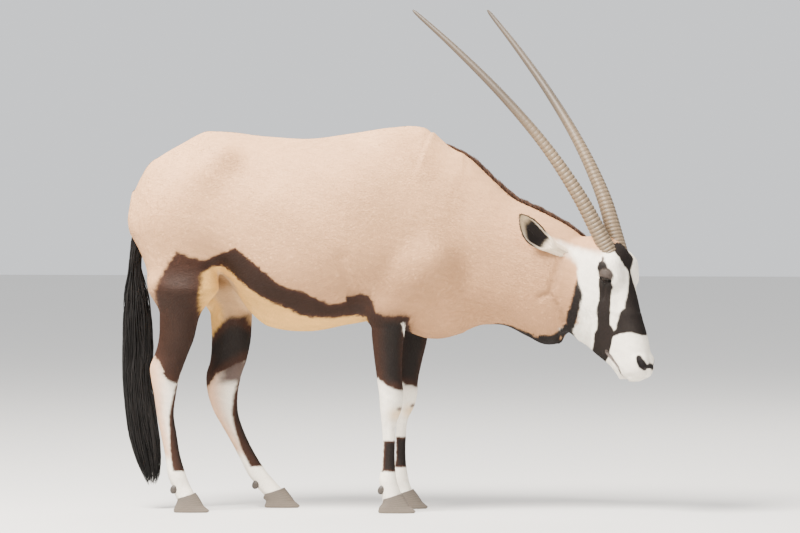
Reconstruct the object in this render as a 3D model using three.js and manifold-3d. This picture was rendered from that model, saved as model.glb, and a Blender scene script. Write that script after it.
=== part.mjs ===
// A gemsbok (oryx) standing with its head lowered to feed, as a life-size still model.
// Millimetres. +X points the way the animal faces, +Y to its left side, +Z up.
// The hooves stand on the plane z = 0.
import * as THREE from 'three';
import { mergeVertices } from 'three/addons/utils/BufferGeometryUtils.js';
import Module from 'manifold-3d';

const wasm = await Module();
wasm.setup();

// Driving dimensions

const GAP = 0.3;              // between two parts that touch
const NECK_PLANE_X = 170;     // the torso ends here and the neck begins
const LEFT = 1;               // sign of Y on the animal's left side
const RIGHT = -1;

const TORSO_SIDES = 34;       // points in one ring of the mesh
const TORSO_RINGS = 24;
const NECK_SIDES = 34;
const NECK_RINGS = 13;
const HEAD_SIDES = 34;
const HEAD_RINGS = 23;
const LEG_SIDES = 12;
const TAIL_SIDES = 7;
const THIGH = {
  bottom: 735, top: 925, rings: 5, sides: 16, middle: 105, limit: 150,
  proud: 1.5, sunk: 8, trunkShare: 0.52,
};

// A blunt end is meshed with rings that lean out from one point, by these degrees.
const RUMP = { at: -690, leans: [66, 46, 30, 15] };
const POLL = { at: 30, leans: [62, 42, 24, 10] };
const MUZZLE = { at: 372, leans: [14, 28, 43, 60, 76] };

// The trunk's cross sections, from rump to chest. `belt` is the height of the widest line.
const TRUNK = [
  { at: -783, top: 1000, bottom: 868, wide: 74, belt: 935 },
  { at: -745, top: 1072, bottom: 825, wide: 112, belt: 935 },
  { at: -700, top: 1105, bottom: 800, wide: 145, belt: 930 },
  { at: -640, top: 1140, bottom: 778, wide: 172, belt: 925 },
  { at: -570, top: 1176, bottom: 768, wide: 188, belt: 915 },
  { at: -527, top: 1178, bottom: 752, wide: 197, belt: 900 },
  { at: -476, top: 1175, bottom: 688, wide: 205, belt: 885 },
  { at: -425, top: 1168, bottom: 614, wide: 214, belt: 868 },
  { at: -367, top: 1162, bottom: 569, wide: 224, belt: 850 },
  { at: -242, top: 1156, bottom: 555, wide: 232, belt: 835 },
  { at: -118, top: 1172, bottom: 577, wide: 222, belt: 835 },
  { at: -9, top: 1189, bottom: 592, wide: 198, belt: 845 },
  { at: 99, top: 1195, bottom: 578, wide: 168, belt: 850 },
  { at: 177, top: 1156, bottom: 582, wide: 138, belt: 850 },
  { at: 235, top: 1080, bottom: 600, wide: 105, belt: 850 },
];

// The neck's cross sections, measured square to a straight line that runs down and forward.
const NECK_FOOT = new THREE.Vector3(100, 0, 880);
const NECK_SLOPE = 20.8;      // degrees below level
const NECK_BEND = 62;         // how far the neck's end swings to the animal's right
const NECK = [
  { at: -60, top: 270, bottom: -262, wide: 140, belt: -20 },
  { at: 58, top: 262, bottom: -278, wide: 144, belt: -30 },
  { at: 147, top: 228, bottom: -285, wide: 132, belt: -50 },
  { at: 236, top: 194, bottom: -238, wide: 114, belt: -50 },
  { at: 297, top: 188, bottom: -211, wide: 102, belt: -40 },
  { at: 356, top: 185, bottom: -192, wide: 94, belt: -35 },
  { at: 430, top: 176, bottom: -198, wide: 86, belt: -30 },
  { at: 490, top: 160, bottom: -203, wide: 79, belt: -25 },
  { at: 532, top: 145, bottom: -182, wide: 74, belt: -20 },
  { at: 580, top: 128, bottom: -128, wide: 66, belt: -20 },
  { at: 640, top: 108, bottom: -96, wide: 54, belt: -20 },
];

// The head has its own frame: along the face towards the nose, out to the animal's right,
// and up off the face. Its origin lies between the horn roots.
const HEAD_ORIGIN = new THREE.Vector3(697, -105, 829);
const HEAD_YAW = 35;          // degrees, turned to the animal's right
const HEAD_PITCH = 74;        // degrees, nose down
const HEAD = [
  { at: -26, top: -2, bottom: -120, wide: 46, belt: -70 },
  { at: 0, top: 28, bottom: -142, wide: 58, belt: -62 },
  { at: 40, top: 48, bottom: -155, wide: 65, belt: -50 },
  { at: 95, top: 49, bottom: -163, wide: 63, belt: -42 },
  { at: 140, top: 46, bottom: -168, wide: 59, belt: -46 },
  { at: 190, top: 46, bottom: -178, wide: 56, belt: -52 },
  { at: 246, top: 50, bottom: -188, wide: 52, belt: -56 },
  { at: 295, top: 53, bottom: -160, wide: 50, belt: -42 },
  { at: 345, top: 50, bottom: -114, wide: 47, belt: -24 },
  { at: 380, top: 46, bottom: -82, wide: 45, belt: -12 },
  { at: 400, top: 38, bottom: -63, wide: 41, belt: -10 },
  { at: 412, top: 22, bottom: -44, wide: 31, belt: -10 },
];
const NAPE_POLL = { along: -45, up: -118 };    // two points of the plane between head and neck
const NAPE_THROAT = { along: 262, up: -158 };

const EYE = { along: 98, out: 56, up: 0, radius: 20 };
const LID_THICKNESS = 4;
const EYE_SLIT = { length: 37, height: 25 };
const MOUTH = { corner: 322, cornerUp: -74, turn: 374, turnUp: -48, opening: 1.6, depth: 7 };

// A horn's centre line in the upright frame of the head: behind, above and beside its root.
const HORN_LINE = [
  [0, 0, 31], [78, 149, 60], [189, 304, 88], [332, 459, 121], [490, 604, 156], [636, 725, 188],
];
const HORN_ROOT_DEPTH = 34;
const HORN_RADII = [
  { at: 0, radius: 26 }, { at: 0.12, radius: 24 }, { at: 0.36, radius: 18 },
  { at: 0.55, radius: 14.5 }, { at: 0.75, radius: 11 }, { at: 0.92, radius: 6.5 }, { at: 1, radius: 1.2 },
];
const HORN_SIDES = 10;
const HORN_RINGS = 21;
const HORN_RINGED_PART = 0.56;
const HORN_RING_HEIGHT = 1.7;

const EAR_LENGTH = 222;
const EAR_THICKNESS = 5;
const EAR_SAG = 20;           // the middle of an ear hangs below the line from root to tip
const EAR_GROOVE = { halfWidth: 0.3, floor: 0.32 };   // of the closed root, shares of its radius
const EAR = [
  { at: 0, halfWidth: 20 }, { at: 0.3, halfWidth: 20 }, { at: 0.43, halfWidth: 27 },
  { at: 0.57, halfWidth: 34 }, { at: 0.72, halfWidth: 33 }, { at: 0.86, halfWidth: 23 },
  { at: 0.95, halfWidth: 11 }, { at: 1, halfWidth: 2 },
];

// Each leg's outline by height: its back and front edge along X, its inner and outer edge
// as distances from the middle plane.
const LEGS = [
  {
    name: 'foreleg_right', side: RIGHT, split: 330, hoofBack: -22, hoofToe: 92,
    outline: [
      { at: 700, back: -40, front: 80, inner: 75, outer: 140 },
      { at: 650, back: -45, front: 82, inner: 52, outer: 158 },
      { at: 610, back: -48, front: 72, inner: 55, outer: 155 },
      { at: 552, back: -45, front: 60, inner: 62, outer: 147 },
      { at: 490, back: -39, front: 54, inner: 68, outer: 141 },
      { at: 420, back: -30, front: 53, inner: 71, outer: 138 },
      { at: 367, back: -22, front: 57, inner: 69, outer: 141 },
      { at: 320, back: -19, front: 51, inner: 73, outer: 137 },
      { at: 274, back: -14, front: 35, inner: 82, outer: 128 },
      { at: 212, back: -11, front: 31, inner: 84, outer: 126 },
      { at: 150, back: -14, front: 31, inner: 84, outer: 126 },
      { at: 104, back: -22, front: 36, inner: 78, outer: 132 },
      { at: 75, back: -20, front: 45, inner: 77, outer: 133 },
      { at: 40, back: -12, front: 57, inner: 73, outer: 137 },
    ],
  },
  {
    name: 'foreleg_left', side: LEFT, split: 330, hoofBack: 2, hoofToe: 116,
    outline: [
      { at: 700, back: 10, front: 130, inner: 75, outer: 140 },
      { at: 650, back: -8, front: 132, inner: 52, outer: 158 },
      { at: 585, back: -8, front: 124, inner: 56, outer: 152 },
      { at: 520, back: -5, front: 116, inner: 64, outer: 145 },
      { at: 461, back: -1, front: 102, inner: 69, outer: 140 },
      { at: 400, back: 5, front: 89, inner: 71, outer: 138 },
      { at: 360, back: 11, front: 86, inner: 69, outer: 141 },
      { at: 322, back: 14, front: 77, inner: 73, outer: 137 },
      { at: 275, back: 16, front: 56, inner: 82, outer: 128 },
      { at: 213, back: 14, front: 50, inner: 84, outer: 126 },
      { at: 151, back: 13, front: 50, inner: 84, outer: 126 },
      { at: 104, back: 4, front: 56, inner: 78, outer: 132 },
      { at: 72, back: 4, front: 64, inner: 77, outer: 133 },
      { at: 40, back: 12, front: 80, inner: 73, outer: 137 },
    ],
  },
  {
    name: 'hindleg_right', side: RIGHT, split: 400, hoofBack: -655, hoofToe: -547,
    outline: [
      { at: 770, back: -690, front: -590, inner: 95, outer: 150 },
      { at: 720, back: -716, front: -545, inner: 60, outer: 176 },
      { at: 690, back: -712, front: -533, inner: 42, outer: 188 },
      { at: 645, back: -704, front: -555, inner: 50, outer: 184 },
      { at: 600, back: -701, front: -576, inner: 60, outer: 175 },
      { at: 537, back: -704, front: -591, inner: 74, outer: 165 },
      { at: 490, back: -717, front: -608, inner: 86, outer: 156 },
      { at: 450, back: -732, front: -623, inner: 88, outer: 154 },
      { at: 410, back: -729, front: -636, inner: 92, outer: 149 },
      { at: 363, back: -720, front: -645, inner: 97, outer: 144 },
      { at: 302, back: -711, front: -652, inner: 100, outer: 140 },
      { at: 240, back: -699, front: -643, inner: 101, outer: 139 },
      { at: 178, back: -686, front: -633, inner: 101, outer: 139 },
      { at: 117, back: -677, front: -616, inner: 95, outer: 145 },
      { at: 78, back: -664, front: -600, inner: 94, outer: 146 },
      { at: 40, back: -648, front: -580, inner: 89, outer: 151 },
    ],
  },
  {
    name: 'hindleg_left', side: LEFT, split: 360, hoofBack: -394, hoofToe: -286,
    outline: [
      { at: 770, back: -570, front: -480, inner: 95, outer: 150 },
      { at: 720, back: -592, front: -448, inner: 60, outer: 176 },
      { at: 690, back: -590, front: -434, inner: 42, outer: 188 },
      { at: 648, back: -572, front: -431, inner: 50, outer: 184 },
      { at: 585, back: -565, front: -433, inner: 62, outer: 174 },
      { at: 523, back: -563, front: -436, inner: 74, outer: 165 },
      { at: 460, back: -569, front: -448, inner: 86, outer: 156 },
      { at: 412, back: -582, front: -464, inner: 88, outer: 154 },
      { at: 357, back: -578, front: -474, inner: 94, outer: 147 },
      { at: 302, back: -560, front: -474, inner: 99, outer: 142 },
      { at: 258, back: -535, front: -463, inner: 101, outer: 140 },
      { at: 204, back: -503, front: -441, inner: 101, outer: 139 },
      { at: 150, back: -474, front: -412, inner: 99, outer: 141 },
      { at: 104, back: -451, front: -380, inner: 95, outer: 145 },
      { at: 70, back: -428, front: -350, inner: 93, outer: 147 },
      { at: 40, back: -400, front: -324, inner: 89, outer: 151 },
    ],
  },
];
const FINE_BELOW = 160;       // a leg's rings stand closer together below this height
const CORONET_HEIGHT = 41;    // of the hairline over the hoof, at the middle of the foot
const CORONET_SLOPE = 0.32;   // the hairline rises towards the toe
const CLEFT = 5;              // between the two claws of a foot
const DEWCLAW_HEIGHT = 72;

// The tail by height: its back and front edge along X, and its half width.
const TAIL = [
  { at: 902, back: -772, front: -728, wide: 16 },
  { at: 870, back: -796, front: -752, wide: 20 },
  { at: 800, back: -806, front: -764, wide: 20 },
  { at: 741, back: -812, front: -764, wide: 23 },
  { at: 673, back: -825, front: -744, wide: 30 },
  { at: 590, back: -829, front: -733, wide: 36 },
  { at: 500, back: -830, front: -728, wide: 38 },
  { at: 403, back: -830, front: -733, wide: 37 },
  { at: 310, back: -822, front: -721, wide: 34 },
  { at: 230, back: -811, front: -710, wide: 30 },
  { at: 150, back: -786, front: -706, wide: 24 },
  { at: 100, back: -763, front: -712, wide: 14 },
  { at: 72, back: -748, front: -728, wide: 5 },
];

const TAIL_ROOT = 895;        // height at which the tail leaves the rump
const TAIL_CORE_END = 300;    // no core of hair lies below this height
const TAIL_CORE_SHARE = 0.5;  // of the way from the dock out to the tips of the hair
const DOCK_RADIUS = 16;

// Long hair of the tail, in tiers of locks that hang from the core and lie over one another.
const TAIL_TIERS = [
  { root: 765, locks: 3, length: 200 },
  { root: 670, locks: 4, length: 250 },
  { root: 560, locks: 4, length: 270 },
  { root: 450, locks: 4, length: 270 },
  { root: 350, locks: 4, length: 270 },
  { root: 300, locks: 2, length: 230 },
];
const TAIL_LOCK = { width: 54, thickness: 15, lowest: 72 };

// The mane, in one close row of short locks along the crest that lean back.
const MANE = {
  locks: 26, from: 0.06, to: 0.95, height: 12, midHeight: 8, length: 44, width: 27, thickness: 8,
  sunk: 12, stagger: 6,
};

const END_CAP = 15;
const MANE_SEED = 11;
const TAIL_SEED = 5;

const COLOURS = {
  coat: 0xcdb297, dark: 0x2c211d, pale: 0xe9dfd0, horn: 0x8a7a66, hoof: 0x8d8378, eye: 0x120c0a,
};

// Small helpers

const radians = THREE.MathUtils.degToRad;

const vector = (x, y, z) => new THREE.Vector3(x, y, z);

// A smooth curve through one measure of a list of stations, held level past both ends.
function measureAt(stations, key, at) {
  const rising = stations[1].at > stations[0].at;
  const order = rising ? 1 : -1;
  const last = stations.length - 1;
  if ((at - stations[0].at) * order <= 0) return stations[0][key];
  if ((at - stations[last].at) * order >= 0) return stations[last][key];
  let i = 0;
  while ((at - stations[i + 1].at) * order > 0) i += 1;
  const slope = (a, b) => (stations[b][key] - stations[a][key]) / (stations[b].at - stations[a].at);
  const span = stations[i + 1].at - stations[i].at;
  const t = (at - stations[i].at) / span;
  const startSlope = slope(Math.max(i - 1, 0), i + 1);
  const endSlope = slope(i, Math.min(i + 2, last));
  const t2 = t * t;
  const t3 = t2 * t;
  return (2 * t3 - 3 * t2 + 1) * stations[i][key] + (t3 - 2 * t2 + t) * span * startSlope
    + (3 * t2 - 2 * t3) * stations[i + 1][key] + (t3 - t2) * span * endSlope;
}

// Joins two fields with a fillet about `blend` wide.
function fuse(a, b, blend) {
  const overlap = Math.max(blend - Math.abs(a - b), 0) / blend;
  return Math.min(a, b) - overlap * overlap * blend * 0.25;
}

// A field is negative inside its form, positive outside, and about a distance near its surface.
// This one is a rounded section of the given half sizes. Where a point lies `past` one of its
// ends, a cap closes it within END_CAP of that end.
function sectionField(u, v, halfU, halfV, power, past) {
  const ratio = (Math.abs(u / halfU) ** power + Math.abs(v / halfV) ** power) ** (1 / power);
  const size = Math.min(halfU, halfV);
  return past > 0 ? Math.hypot(ratio * size, (past * size) / END_CAP) - size : (ratio - 1) * size;
}

function pastEnds(stations, at) {
  const ends = [stations[0].at, stations[stations.length - 1].at];
  return Math.max(Math.min(...ends) - at, at - Math.max(...ends), 0);
}

// A form with a widest line at `belt`, such as a trunk or a neck.
function beltedField(stations, at, side, height, power) {
  const belt = measureAt(stations, 'belt', at);
  const edge = measureAt(stations, height > belt ? 'top' : 'bottom', at);
  const wide = measureAt(stations, 'wide', at);
  return sectionField(side, height - belt, wide, Math.abs(edge - belt), power, pastEnds(stations, at));
}

// A tapered muscle or bone from `a` to `b`; `flat` below 1 makes it thinner across the body.
function muscleField(x, y, z, muscle) {
  const [ax, ay, az] = muscle.from;
  const [bx, by, bz] = muscle.to;
  const ux = bx - ax;
  const uy = by - ay;
  const uz = bz - az;
  const length2 = ux * ux + uy * uy + uz * uz;
  const t = Math.min(Math.max(((x - ax) * ux + (y - ay) * uy + (z - az) * uz) / length2, 0), 1);
  const across = (y - ay - uy * t) / muscle.flat;
  const radius = muscle.radii[0] + (muscle.radii[1] - muscle.radii[0]) * t;
  return (Math.hypot(x - ax - ux * t, across, z - az - uz * t) - radius) * Math.sqrt(muscle.flat);
}

// Muscles and bones under the skin, as [along, across, height]

const SHOULDER_BLADE = { from: [5, 62, 1105], to: [125, 128, 790], radii: [48, 72], flat: 0.75, blend: 60 };
const UPPER_ARM = { from: [130, 130, 770], to: [0, 118, 668], radii: [74, 64], flat: 0.8, blend: 50 };
const TRICEPS = { from: [-60, 128, 760], to: [-12, 120, 650], radii: [68, 50], flat: 0.7, blend: 50 };
const HIP_BONE = { from: [-505, 135, 1085], to: [-545, 140, 1045], radii: [34, 34], flat: 0.8, blend: 70 };
const SEAT_BONE = { from: [-700, 78, 960], to: [-748, 62, 905], radii: [70, 46], flat: 0.8, blend: 60 };
const PAIRED_MUSCLES = [SHOULDER_BLADE, UPPER_ARM, TRICEPS, HIP_BONE, SEAT_BONE];
const THIGHS = {
  hindleg_right: [
    { from: [-640, 100, 930], to: [-597, 118, 735], radii: [108, 70], flat: 0.75, blend: 70 },
    { from: [-690, 95, 870], to: [-668, 118, 710], radii: [88, 54], flat: 0.75, blend: 60 },
  ],
  hindleg_left: [
    { from: [-625, 100, 930], to: [-506, 118, 722], radii: [108, 72], flat: 0.75, blend: 70 },
    { from: [-680, 95, 870], to: [-560, 118, 700], radii: [88, 54], flat: 0.75, blend: 60 },
  ],
};
const BRISKET = { from: [120, 0, 645], to: [180, 0, 632], radii: [60, 72], flat: 0.85, blend: 60 };

const HEAD_MUSCLES = [
  { from: [150, 36, -92], to: [215, 34, -96], radii: [58, 50], flat: 0.42, blend: 22 },  // cheek
  { from: [80, 52, 4], to: [108, 52, 0], radii: [29, 27], flat: 0.85, blend: 18 },       // eye socket
  { from: [70, 46, 22], to: [104, 46, 20], radii: [20, 18], flat: 0.9, blend: 16 },      // brow
  { from: [132, 40, -22], to: [230, 30, -30], radii: [20, 14], flat: 0.8, blend: 26 },   // cheek bone
  { from: [378, 18, 20], to: [402, 17, 12], radii: [25, 22], flat: 0.9, blend: 16 },     // nostril wing
  { from: [372, 14, -24], to: [408, 13, -20], radii: [28, 20], flat: 1, blend: 14 },     // upper lip
  { from: [370, 12, -56], to: [400, 9, -56], radii: [20, 15], flat: 1, blend: 12 },      // lower lip
];

// The part of a muscle from its upper end down to a share of its length.
function upperPart(muscle, share) {
  const along = (a, b) => a + (b - a) * share;
  return {
    ...muscle, to: muscle.from.map((value, i) => along(value, muscle.to[i])),
    radii: [muscle.radii[0], along(...muscle.radii)],
  };
}

function fuseThigh(field, thigh, x, y, z) {
  return thigh.reduce(
    (sum, muscle) => fuse(sum, muscleField(x, Math.abs(y), z, muscle), muscle.blend), field,
  );
}

// Only the upper part of each thigh belongs to the trunk's own mesh.
const TRUNK_THIGHS = Object.fromEntries(Object.entries(THIGHS).map(
  ([name, thigh]) => [name, thigh.map((muscle) => upperPart(muscle, THIGH.trunkShare))],
));

function trunkField(x, y, z, thighs = TRUNK_THIGHS) {
  let field = beltedField(TRUNK, x, y, z, 2.15);
  const across = Math.abs(y);
  for (const muscle of PAIRED_MUSCLES) {
    field = fuse(field, muscleField(x, across, z, muscle), muscle.blend);
  }
  field = fuseThigh(field, y < 0 ? thighs.hindleg_right : thighs.hindleg_left, x, y, z);
  return fuse(field, muscleField(x, y, z, BRISKET), BRISKET.blend);
}

const NECK_AXIS = vector(Math.cos(radians(NECK_SLOPE)), 0, -Math.sin(radians(NECK_SLOPE)));
const NECK_RISE = vector(-NECK_AXIS.z, 0, NECK_AXIS.x);

function neckBend(along) {
  return -NECK_BEND * THREE.MathUtils.smoothstep(along, 40, 620);
}

function neckField(x, y, z) {
  const dx = x - NECK_FOOT.x;
  const dz = z - NECK_FOOT.z;
  const along = dx * NECK_AXIS.x + dz * NECK_AXIS.z;
  const height = dx * NECK_RISE.x + dz * NECK_RISE.z;
  return beltedField(NECK, along, y - neckBend(along), height, 2.1);
}

const HEAD_AHEAD = vector(Math.cos(radians(HEAD_YAW)), -Math.sin(radians(HEAD_YAW)), 0);
const HEAD_OUT = vector(-Math.sin(radians(HEAD_YAW)), -Math.cos(radians(HEAD_YAW)), 0);
const HEAD_ALONG = HEAD_AHEAD.clone().multiplyScalar(Math.cos(radians(HEAD_PITCH)))
  .addScaledVector(vector(0, 0, -1), Math.sin(radians(HEAD_PITCH)));
const HEAD_UP = HEAD_AHEAD.clone().multiplyScalar(Math.sin(radians(HEAD_PITCH)))
  .addScaledVector(vector(0, 0, 1), Math.cos(radians(HEAD_PITCH)));

function headPoint(along, out, up) {
  return HEAD_ORIGIN.clone().addScaledVector(HEAD_ALONG, along).addScaledVector(HEAD_OUT, out)
    .addScaledVector(HEAD_UP, up);
}

function headDirection(along, out, up) {
  return headPoint(along, out, up).sub(HEAD_ORIGIN).normalize();
}

function headField(x, y, z) {
  const offset = vector(x, y, z).sub(HEAD_ORIGIN);
  const along = offset.dot(HEAD_ALONG);
  const out = Math.abs(offset.dot(HEAD_OUT));
  const up = offset.dot(HEAD_UP);
  let field = beltedField(HEAD, along, out, up, 2.3);
  for (const muscle of HEAD_MUSCLES) {
    field = fuse(field, muscleField(along, out, up, muscle), muscle.blend);
  }
  return field;
}

function bodyField(x, y, z) {
  let field = fuse(trunkField(x, y, z), neckField(x, y, z), 70);
  if (x > 400) field = fuse(field, headField(x, y, z), 45);
  return field;
}

function limbField(leg) {
  return (x, y, z) => {
    const back = measureAt(leg.outline, 'back', z);
    const front = measureAt(leg.outline, 'front', z);
    const inner = measureAt(leg.outline, 'inner', z);
    const outer = measureAt(leg.outline, 'outer', z);
    const u = x - (back + front) / 2;
    const v = y * leg.side - (inner + outer) / 2;
    return sectionField(u, v, (front - back) / 2, (outer - inner) / 2, 2.1, pastEnds(leg.outline, z));
  };
}

function legField(leg) {
  const limb = limbField(leg);
  return leg.name in THIGHS ? (x, y, z) => fuseThigh(limb(x, y, z), THIGHS[leg.name], x, y, z) : limb;
}

// Making closed meshes

// The distance from a point inside a field's form to its surface, along a direction.
function reach(field, from, direction, limit) {
  const step = 8;
  const value = (distance) => field(
    from.x + direction.x * distance, from.y + direction.y * distance, from.z + direction.z * distance);
  let inside = 0;
  let outside = step;
  while (outside < limit && value(outside) < 0) {
    inside = outside;
    outside += step;
  }
  for (let i = 0; i < 14; i += 1) {
    const middle = (inside + outside) / 2;
    if (value(middle) < 0) inside = middle;
    else outside = middle;
  }
  return (inside + outside) / 2;
}

// A ring of surface points round `centre`, in the plane of `up` and `across`, or leaning
// out of it by `lean` degrees along `axis`. `grow` moves each point out.
function surfaceRing(field, { centre, up, across, axis, lean = 0, sides, grow = 0, limit = 520 }) {
  const ring = [];
  for (let i = 0; i < sides; i += 1) {
    const angle = (i / sides) * 2 * Math.PI;
    const direction = up.clone().multiplyScalar(Math.cos(angle)).addScaledVector(across, Math.sin(angle));
    if (lean) {
      direction.multiplyScalar(Math.cos(radians(lean))).addScaledVector(axis, Math.sin(radians(lean)));
    }
    const distance = reach(field, centre, direction, limit) + grow;
    ring.push(centre.clone().addScaledVector(direction, distance));
  }
  return ring;
}

function surfacePoint(field, centre, direction, grow = 0) {
  return centre.clone().addScaledVector(direction, reach(field, centre, direction, 520) + grow);
}

// Skins a stack of rings. Each end closes on one point: the one given, or the ring's middle.
function loft(rings, startPoint = null, endPoint = null) {
  const sides = rings[0].length;
  const points = rings.flat();
  const middle = (ring) => ring.reduce((sum, p) => sum.add(p), vector(0, 0, 0)).divideScalar(sides);
  const start = points.push(startPoint ?? middle(rings[0])) - 1;
  const end = points.push(endPoint ?? middle(rings[rings.length - 1])) - 1;
  const triangles = [];
  for (let i = 0; i < sides; i += 1) {
    const j = (i + 1) % sides;
    triangles.push(start, j, i);
    for (let r = 0; r < rings.length - 1; r += 1) {
      const a = r * sides;
      const b = a + sides;
      triangles.push(a + i, a + j, b + j, a + i, b + j, b + i);
    }
    const top = (rings.length - 1) * sides;
    triangles.push(end, top + i, top + j);
  }
  return solidFrom(points, triangles);
}

function solidFrom(points, triangles) {
  const geometry = new THREE.BufferGeometry().setFromPoints(points);
  geometry.setIndex(triangles);
  return solidFromGeometry(geometry);
}

function signedVolume(position, index) {
  const [a, b, c] = [vector(), vector(), vector()];
  let sum = 0;
  for (let i = 0; i < index.length; i += 3) {
    a.fromBufferAttribute(position, index[i]);
    b.fromBufferAttribute(position, index[i + 1]);
    c.fromBufferAttribute(position, index[i + 2]);
    sum += a.dot(b.cross(c)) / 6;
  }
  return sum;
}

// A closed solid from a geometry, turned right side out where its faces look inward.
function solidFromGeometry(geometry) {
  geometry.deleteAttribute('normal');
  geometry.deleteAttribute('uv');
  const merged = mergeVertices(geometry, 1e-3);
  const index = Array.from(merged.index.array);
  if (signedVolume(merged.attributes.position, index) < 0) index.reverse();
  return new wasm.Manifold(new wasm.Mesh({
    numProp: 3,
    vertProperties: new Float32Array(merged.attributes.position.array),
    triVerts: new Uint32Array(index),
  }));
}

// The largest closed piece of a solid, without the scraps a cut may leave.
function largestPiece(solid) {
  const pieces = solid.decompose();
  return pieces.reduce((best, piece) => (piece.volume() > best.volume() ? piece : best));
}

// A ball-like solid placed by a matrix, for sockets and holes.
function ballSolid(centre, radius, segments = 16) {
  const geometry = new THREE.SphereGeometry(radius, segments, Math.round(segments * 0.7));
  geometry.translate(centre.x, centre.y, centre.z);
  return solidFromGeometry(geometry);
}

// Everything on the side of a plane that `normal` points to, as a big block.
function halfSpace(point, normal) {
  const size = 1600;
  const geometry = new THREE.BoxGeometry(size, size, size);
  geometry.translate(0, 0, size / 2);
  geometry.applyQuaternion(new THREE.Quaternion().setFromUnitVectors(vector(0, 0, 1), normal));
  geometry.translate(point.x, point.y, point.z);
  return solidFromGeometry(geometry);
}

// A generator of numbers from 0 to 1 that gives the same row in each build.
function seededRandom(seed) {
  let state = seed;
  return () => {
    state = (state * 1664525 + 1013904223) % 4294967296;
    return state / 4294967296;
  };
}

// One lock of hair: a flat strip along a curve, widest near its root and tapered to a point.
function buildLock({ path, broad, width, thickness, stops }) {
  const rings = [];
  for (let i = 0; i < stops; i += 1) {
    const t = i / stops;
    const centre = path.getPoint(t);
    const along = path.getTangent(t);
    const wide = broad.clone().addScaledVector(along, -broad.dot(along)).normalize();
    const thin = along.clone().cross(wide);
    const taper = (1 - t ** 1.8) * (0.8 + 0.8 * t);
    rings.push([
      centre.clone().addScaledVector(wide, (width / 2) * taper),
      centre.clone().addScaledVector(thin, (thickness / 2) * taper),
      centre.clone().addScaledVector(wide, (-width / 2) * taper),
      centre.clone().addScaledVector(thin, (-thickness / 2) * taper),
    ]);
  }
  return loft(rings, null, path.getPoint(1));
}

// A node's body and its locks in one closed solid.
function withLocks(body, locks, obstacles = []) {
  const joined = wasm.Manifold.union([body, ...locks]);
  return largestPiece(obstacles.reduce((sum, obstacle) => sum.subtract(obstacle), joined));
}

// Torso

const UP = vector(0, 0, 1);
const SIDE = vector(0, 1, 0);
const AHEAD = vector(1, 0, 0);

function torsoCentre(x) {
  return vector(x, 0, measureAt(TRUNK, 'belt', x) + 20);
}

// A thigh from inside the trunk down to the level where the leg's own node begins. It sinks
// under the trunk's surface towards its top, so that the two meshes cross along one line.
function buildThigh(leg, grow) {
  const limb = limbField(leg);
  const field = (x, y, z) => fuse(trunkField(x, y, z, THIGHS), limb(x, y, z), 40);
  const rings = [];
  for (let i = 0; i <= THIGH.rings; i += 1) {
    const z = THREE.MathUtils.lerp(THIGH.bottom, THIGH.top, i / THIGH.rings);
    const along = (muscle) => (z - muscle.from[2]) / (muscle.to[2] - muscle.from[2]);
    const x = THIGHS[leg.name].reduce(
      (sum, { from, to }) => sum + THREE.MathUtils.lerp(from[0], to[0], along({ from, to })) / 2, 0,
    );
    const sinking = THREE.MathUtils.smoothstep(z, THIGH.bottom + 40, THIGH.bottom + 120);
    rings.push(surfaceRing(field, {
      centre: vector(x, leg.side * THIGH.middle, z), up: AHEAD, across: SIDE, sides: THIGH.sides,
      grow: grow + THREE.MathUtils.lerp(THIGH.proud, -THIGH.sunk, sinking), limit: THIGH.limit,
    }));
  }
  return loft(rings);
}

function buildTorso(grow) {
  const thighs = LEGS.filter((leg) => leg.name in THIGHS).map((leg) => buildThigh(leg, grow));
  return largestPiece(wasm.Manifold.union([buildTrunk(grow), ...thighs]));
}

function buildTrunk(grow) {
  const rings = [];
  const rump = torsoCentre(RUMP.at);
  for (const lean of RUMP.leans) {
    rings.push(surfaceRing(bodyField, {
      centre: rump, up: UP, across: SIDE, axis: AHEAD.clone().negate(), lean, sides: TORSO_SIDES, grow,
    }));
  }
  for (let i = 0; i <= TORSO_RINGS; i += 1) {
    const x = THREE.MathUtils.lerp(RUMP.at, NECK_PLANE_X, i / TORSO_RINGS);
    const centre = i === TORSO_RINGS ? neckRingFrame(0).centre : torsoCentre(x);
    rings.push(surfaceRing(bodyField, { centre, up: UP, across: SIDE, sides: TORSO_SIDES, grow }));
  }
  return loft(rings, surfacePoint(bodyField, rump, AHEAD.clone().negate(), grow));
}

// Neck

const NAPE_TOP = headPoint(NAPE_POLL.along, 0, NAPE_POLL.up);
const NAPE_BOTTOM = headPoint(NAPE_THROAT.along, 0, NAPE_THROAT.up);
const NAPE_RISE = NAPE_TOP.clone().sub(NAPE_BOTTOM).normalize();
const NAPE_NORMAL = NAPE_RISE.clone().cross(HEAD_OUT).normalize();

// The frame of a ring across the neck, from 0 at the torso to 1 at the head.
function neckRingFrame(t) {
  const start = vector(NECK_PLANE_X, 0, 860);
  const end = NAPE_TOP.clone().add(NAPE_BOTTOM).divideScalar(2);
  const centre = start.clone().lerp(end, t);
  centre.y = end.y * t * t;
  const turn = THREE.MathUtils.smoothstep(t, 0.1, 1);
  const up = UP.clone().lerp(NAPE_RISE, turn).normalize();
  const across = SIDE.clone().lerp(HEAD_OUT.clone().negate(), turn);
  across.addScaledVector(up, -across.dot(up)).normalize();
  return { centre, up, across };
}

function neckRing(t, shift, grow) {
  const frame = neckRingFrame(t);
  frame.centre.addScaledVector(frame.across.clone().cross(frame.up), shift);
  return surfaceRing(bodyField, { ...frame, sides: NECK_SIDES, grow });
}

// The top line of the neck, where the mane stands.
function crestPoint(t) {
  const { centre, up } = neckRingFrame(t);
  return surfacePoint(bodyField, centre, up);
}

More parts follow.
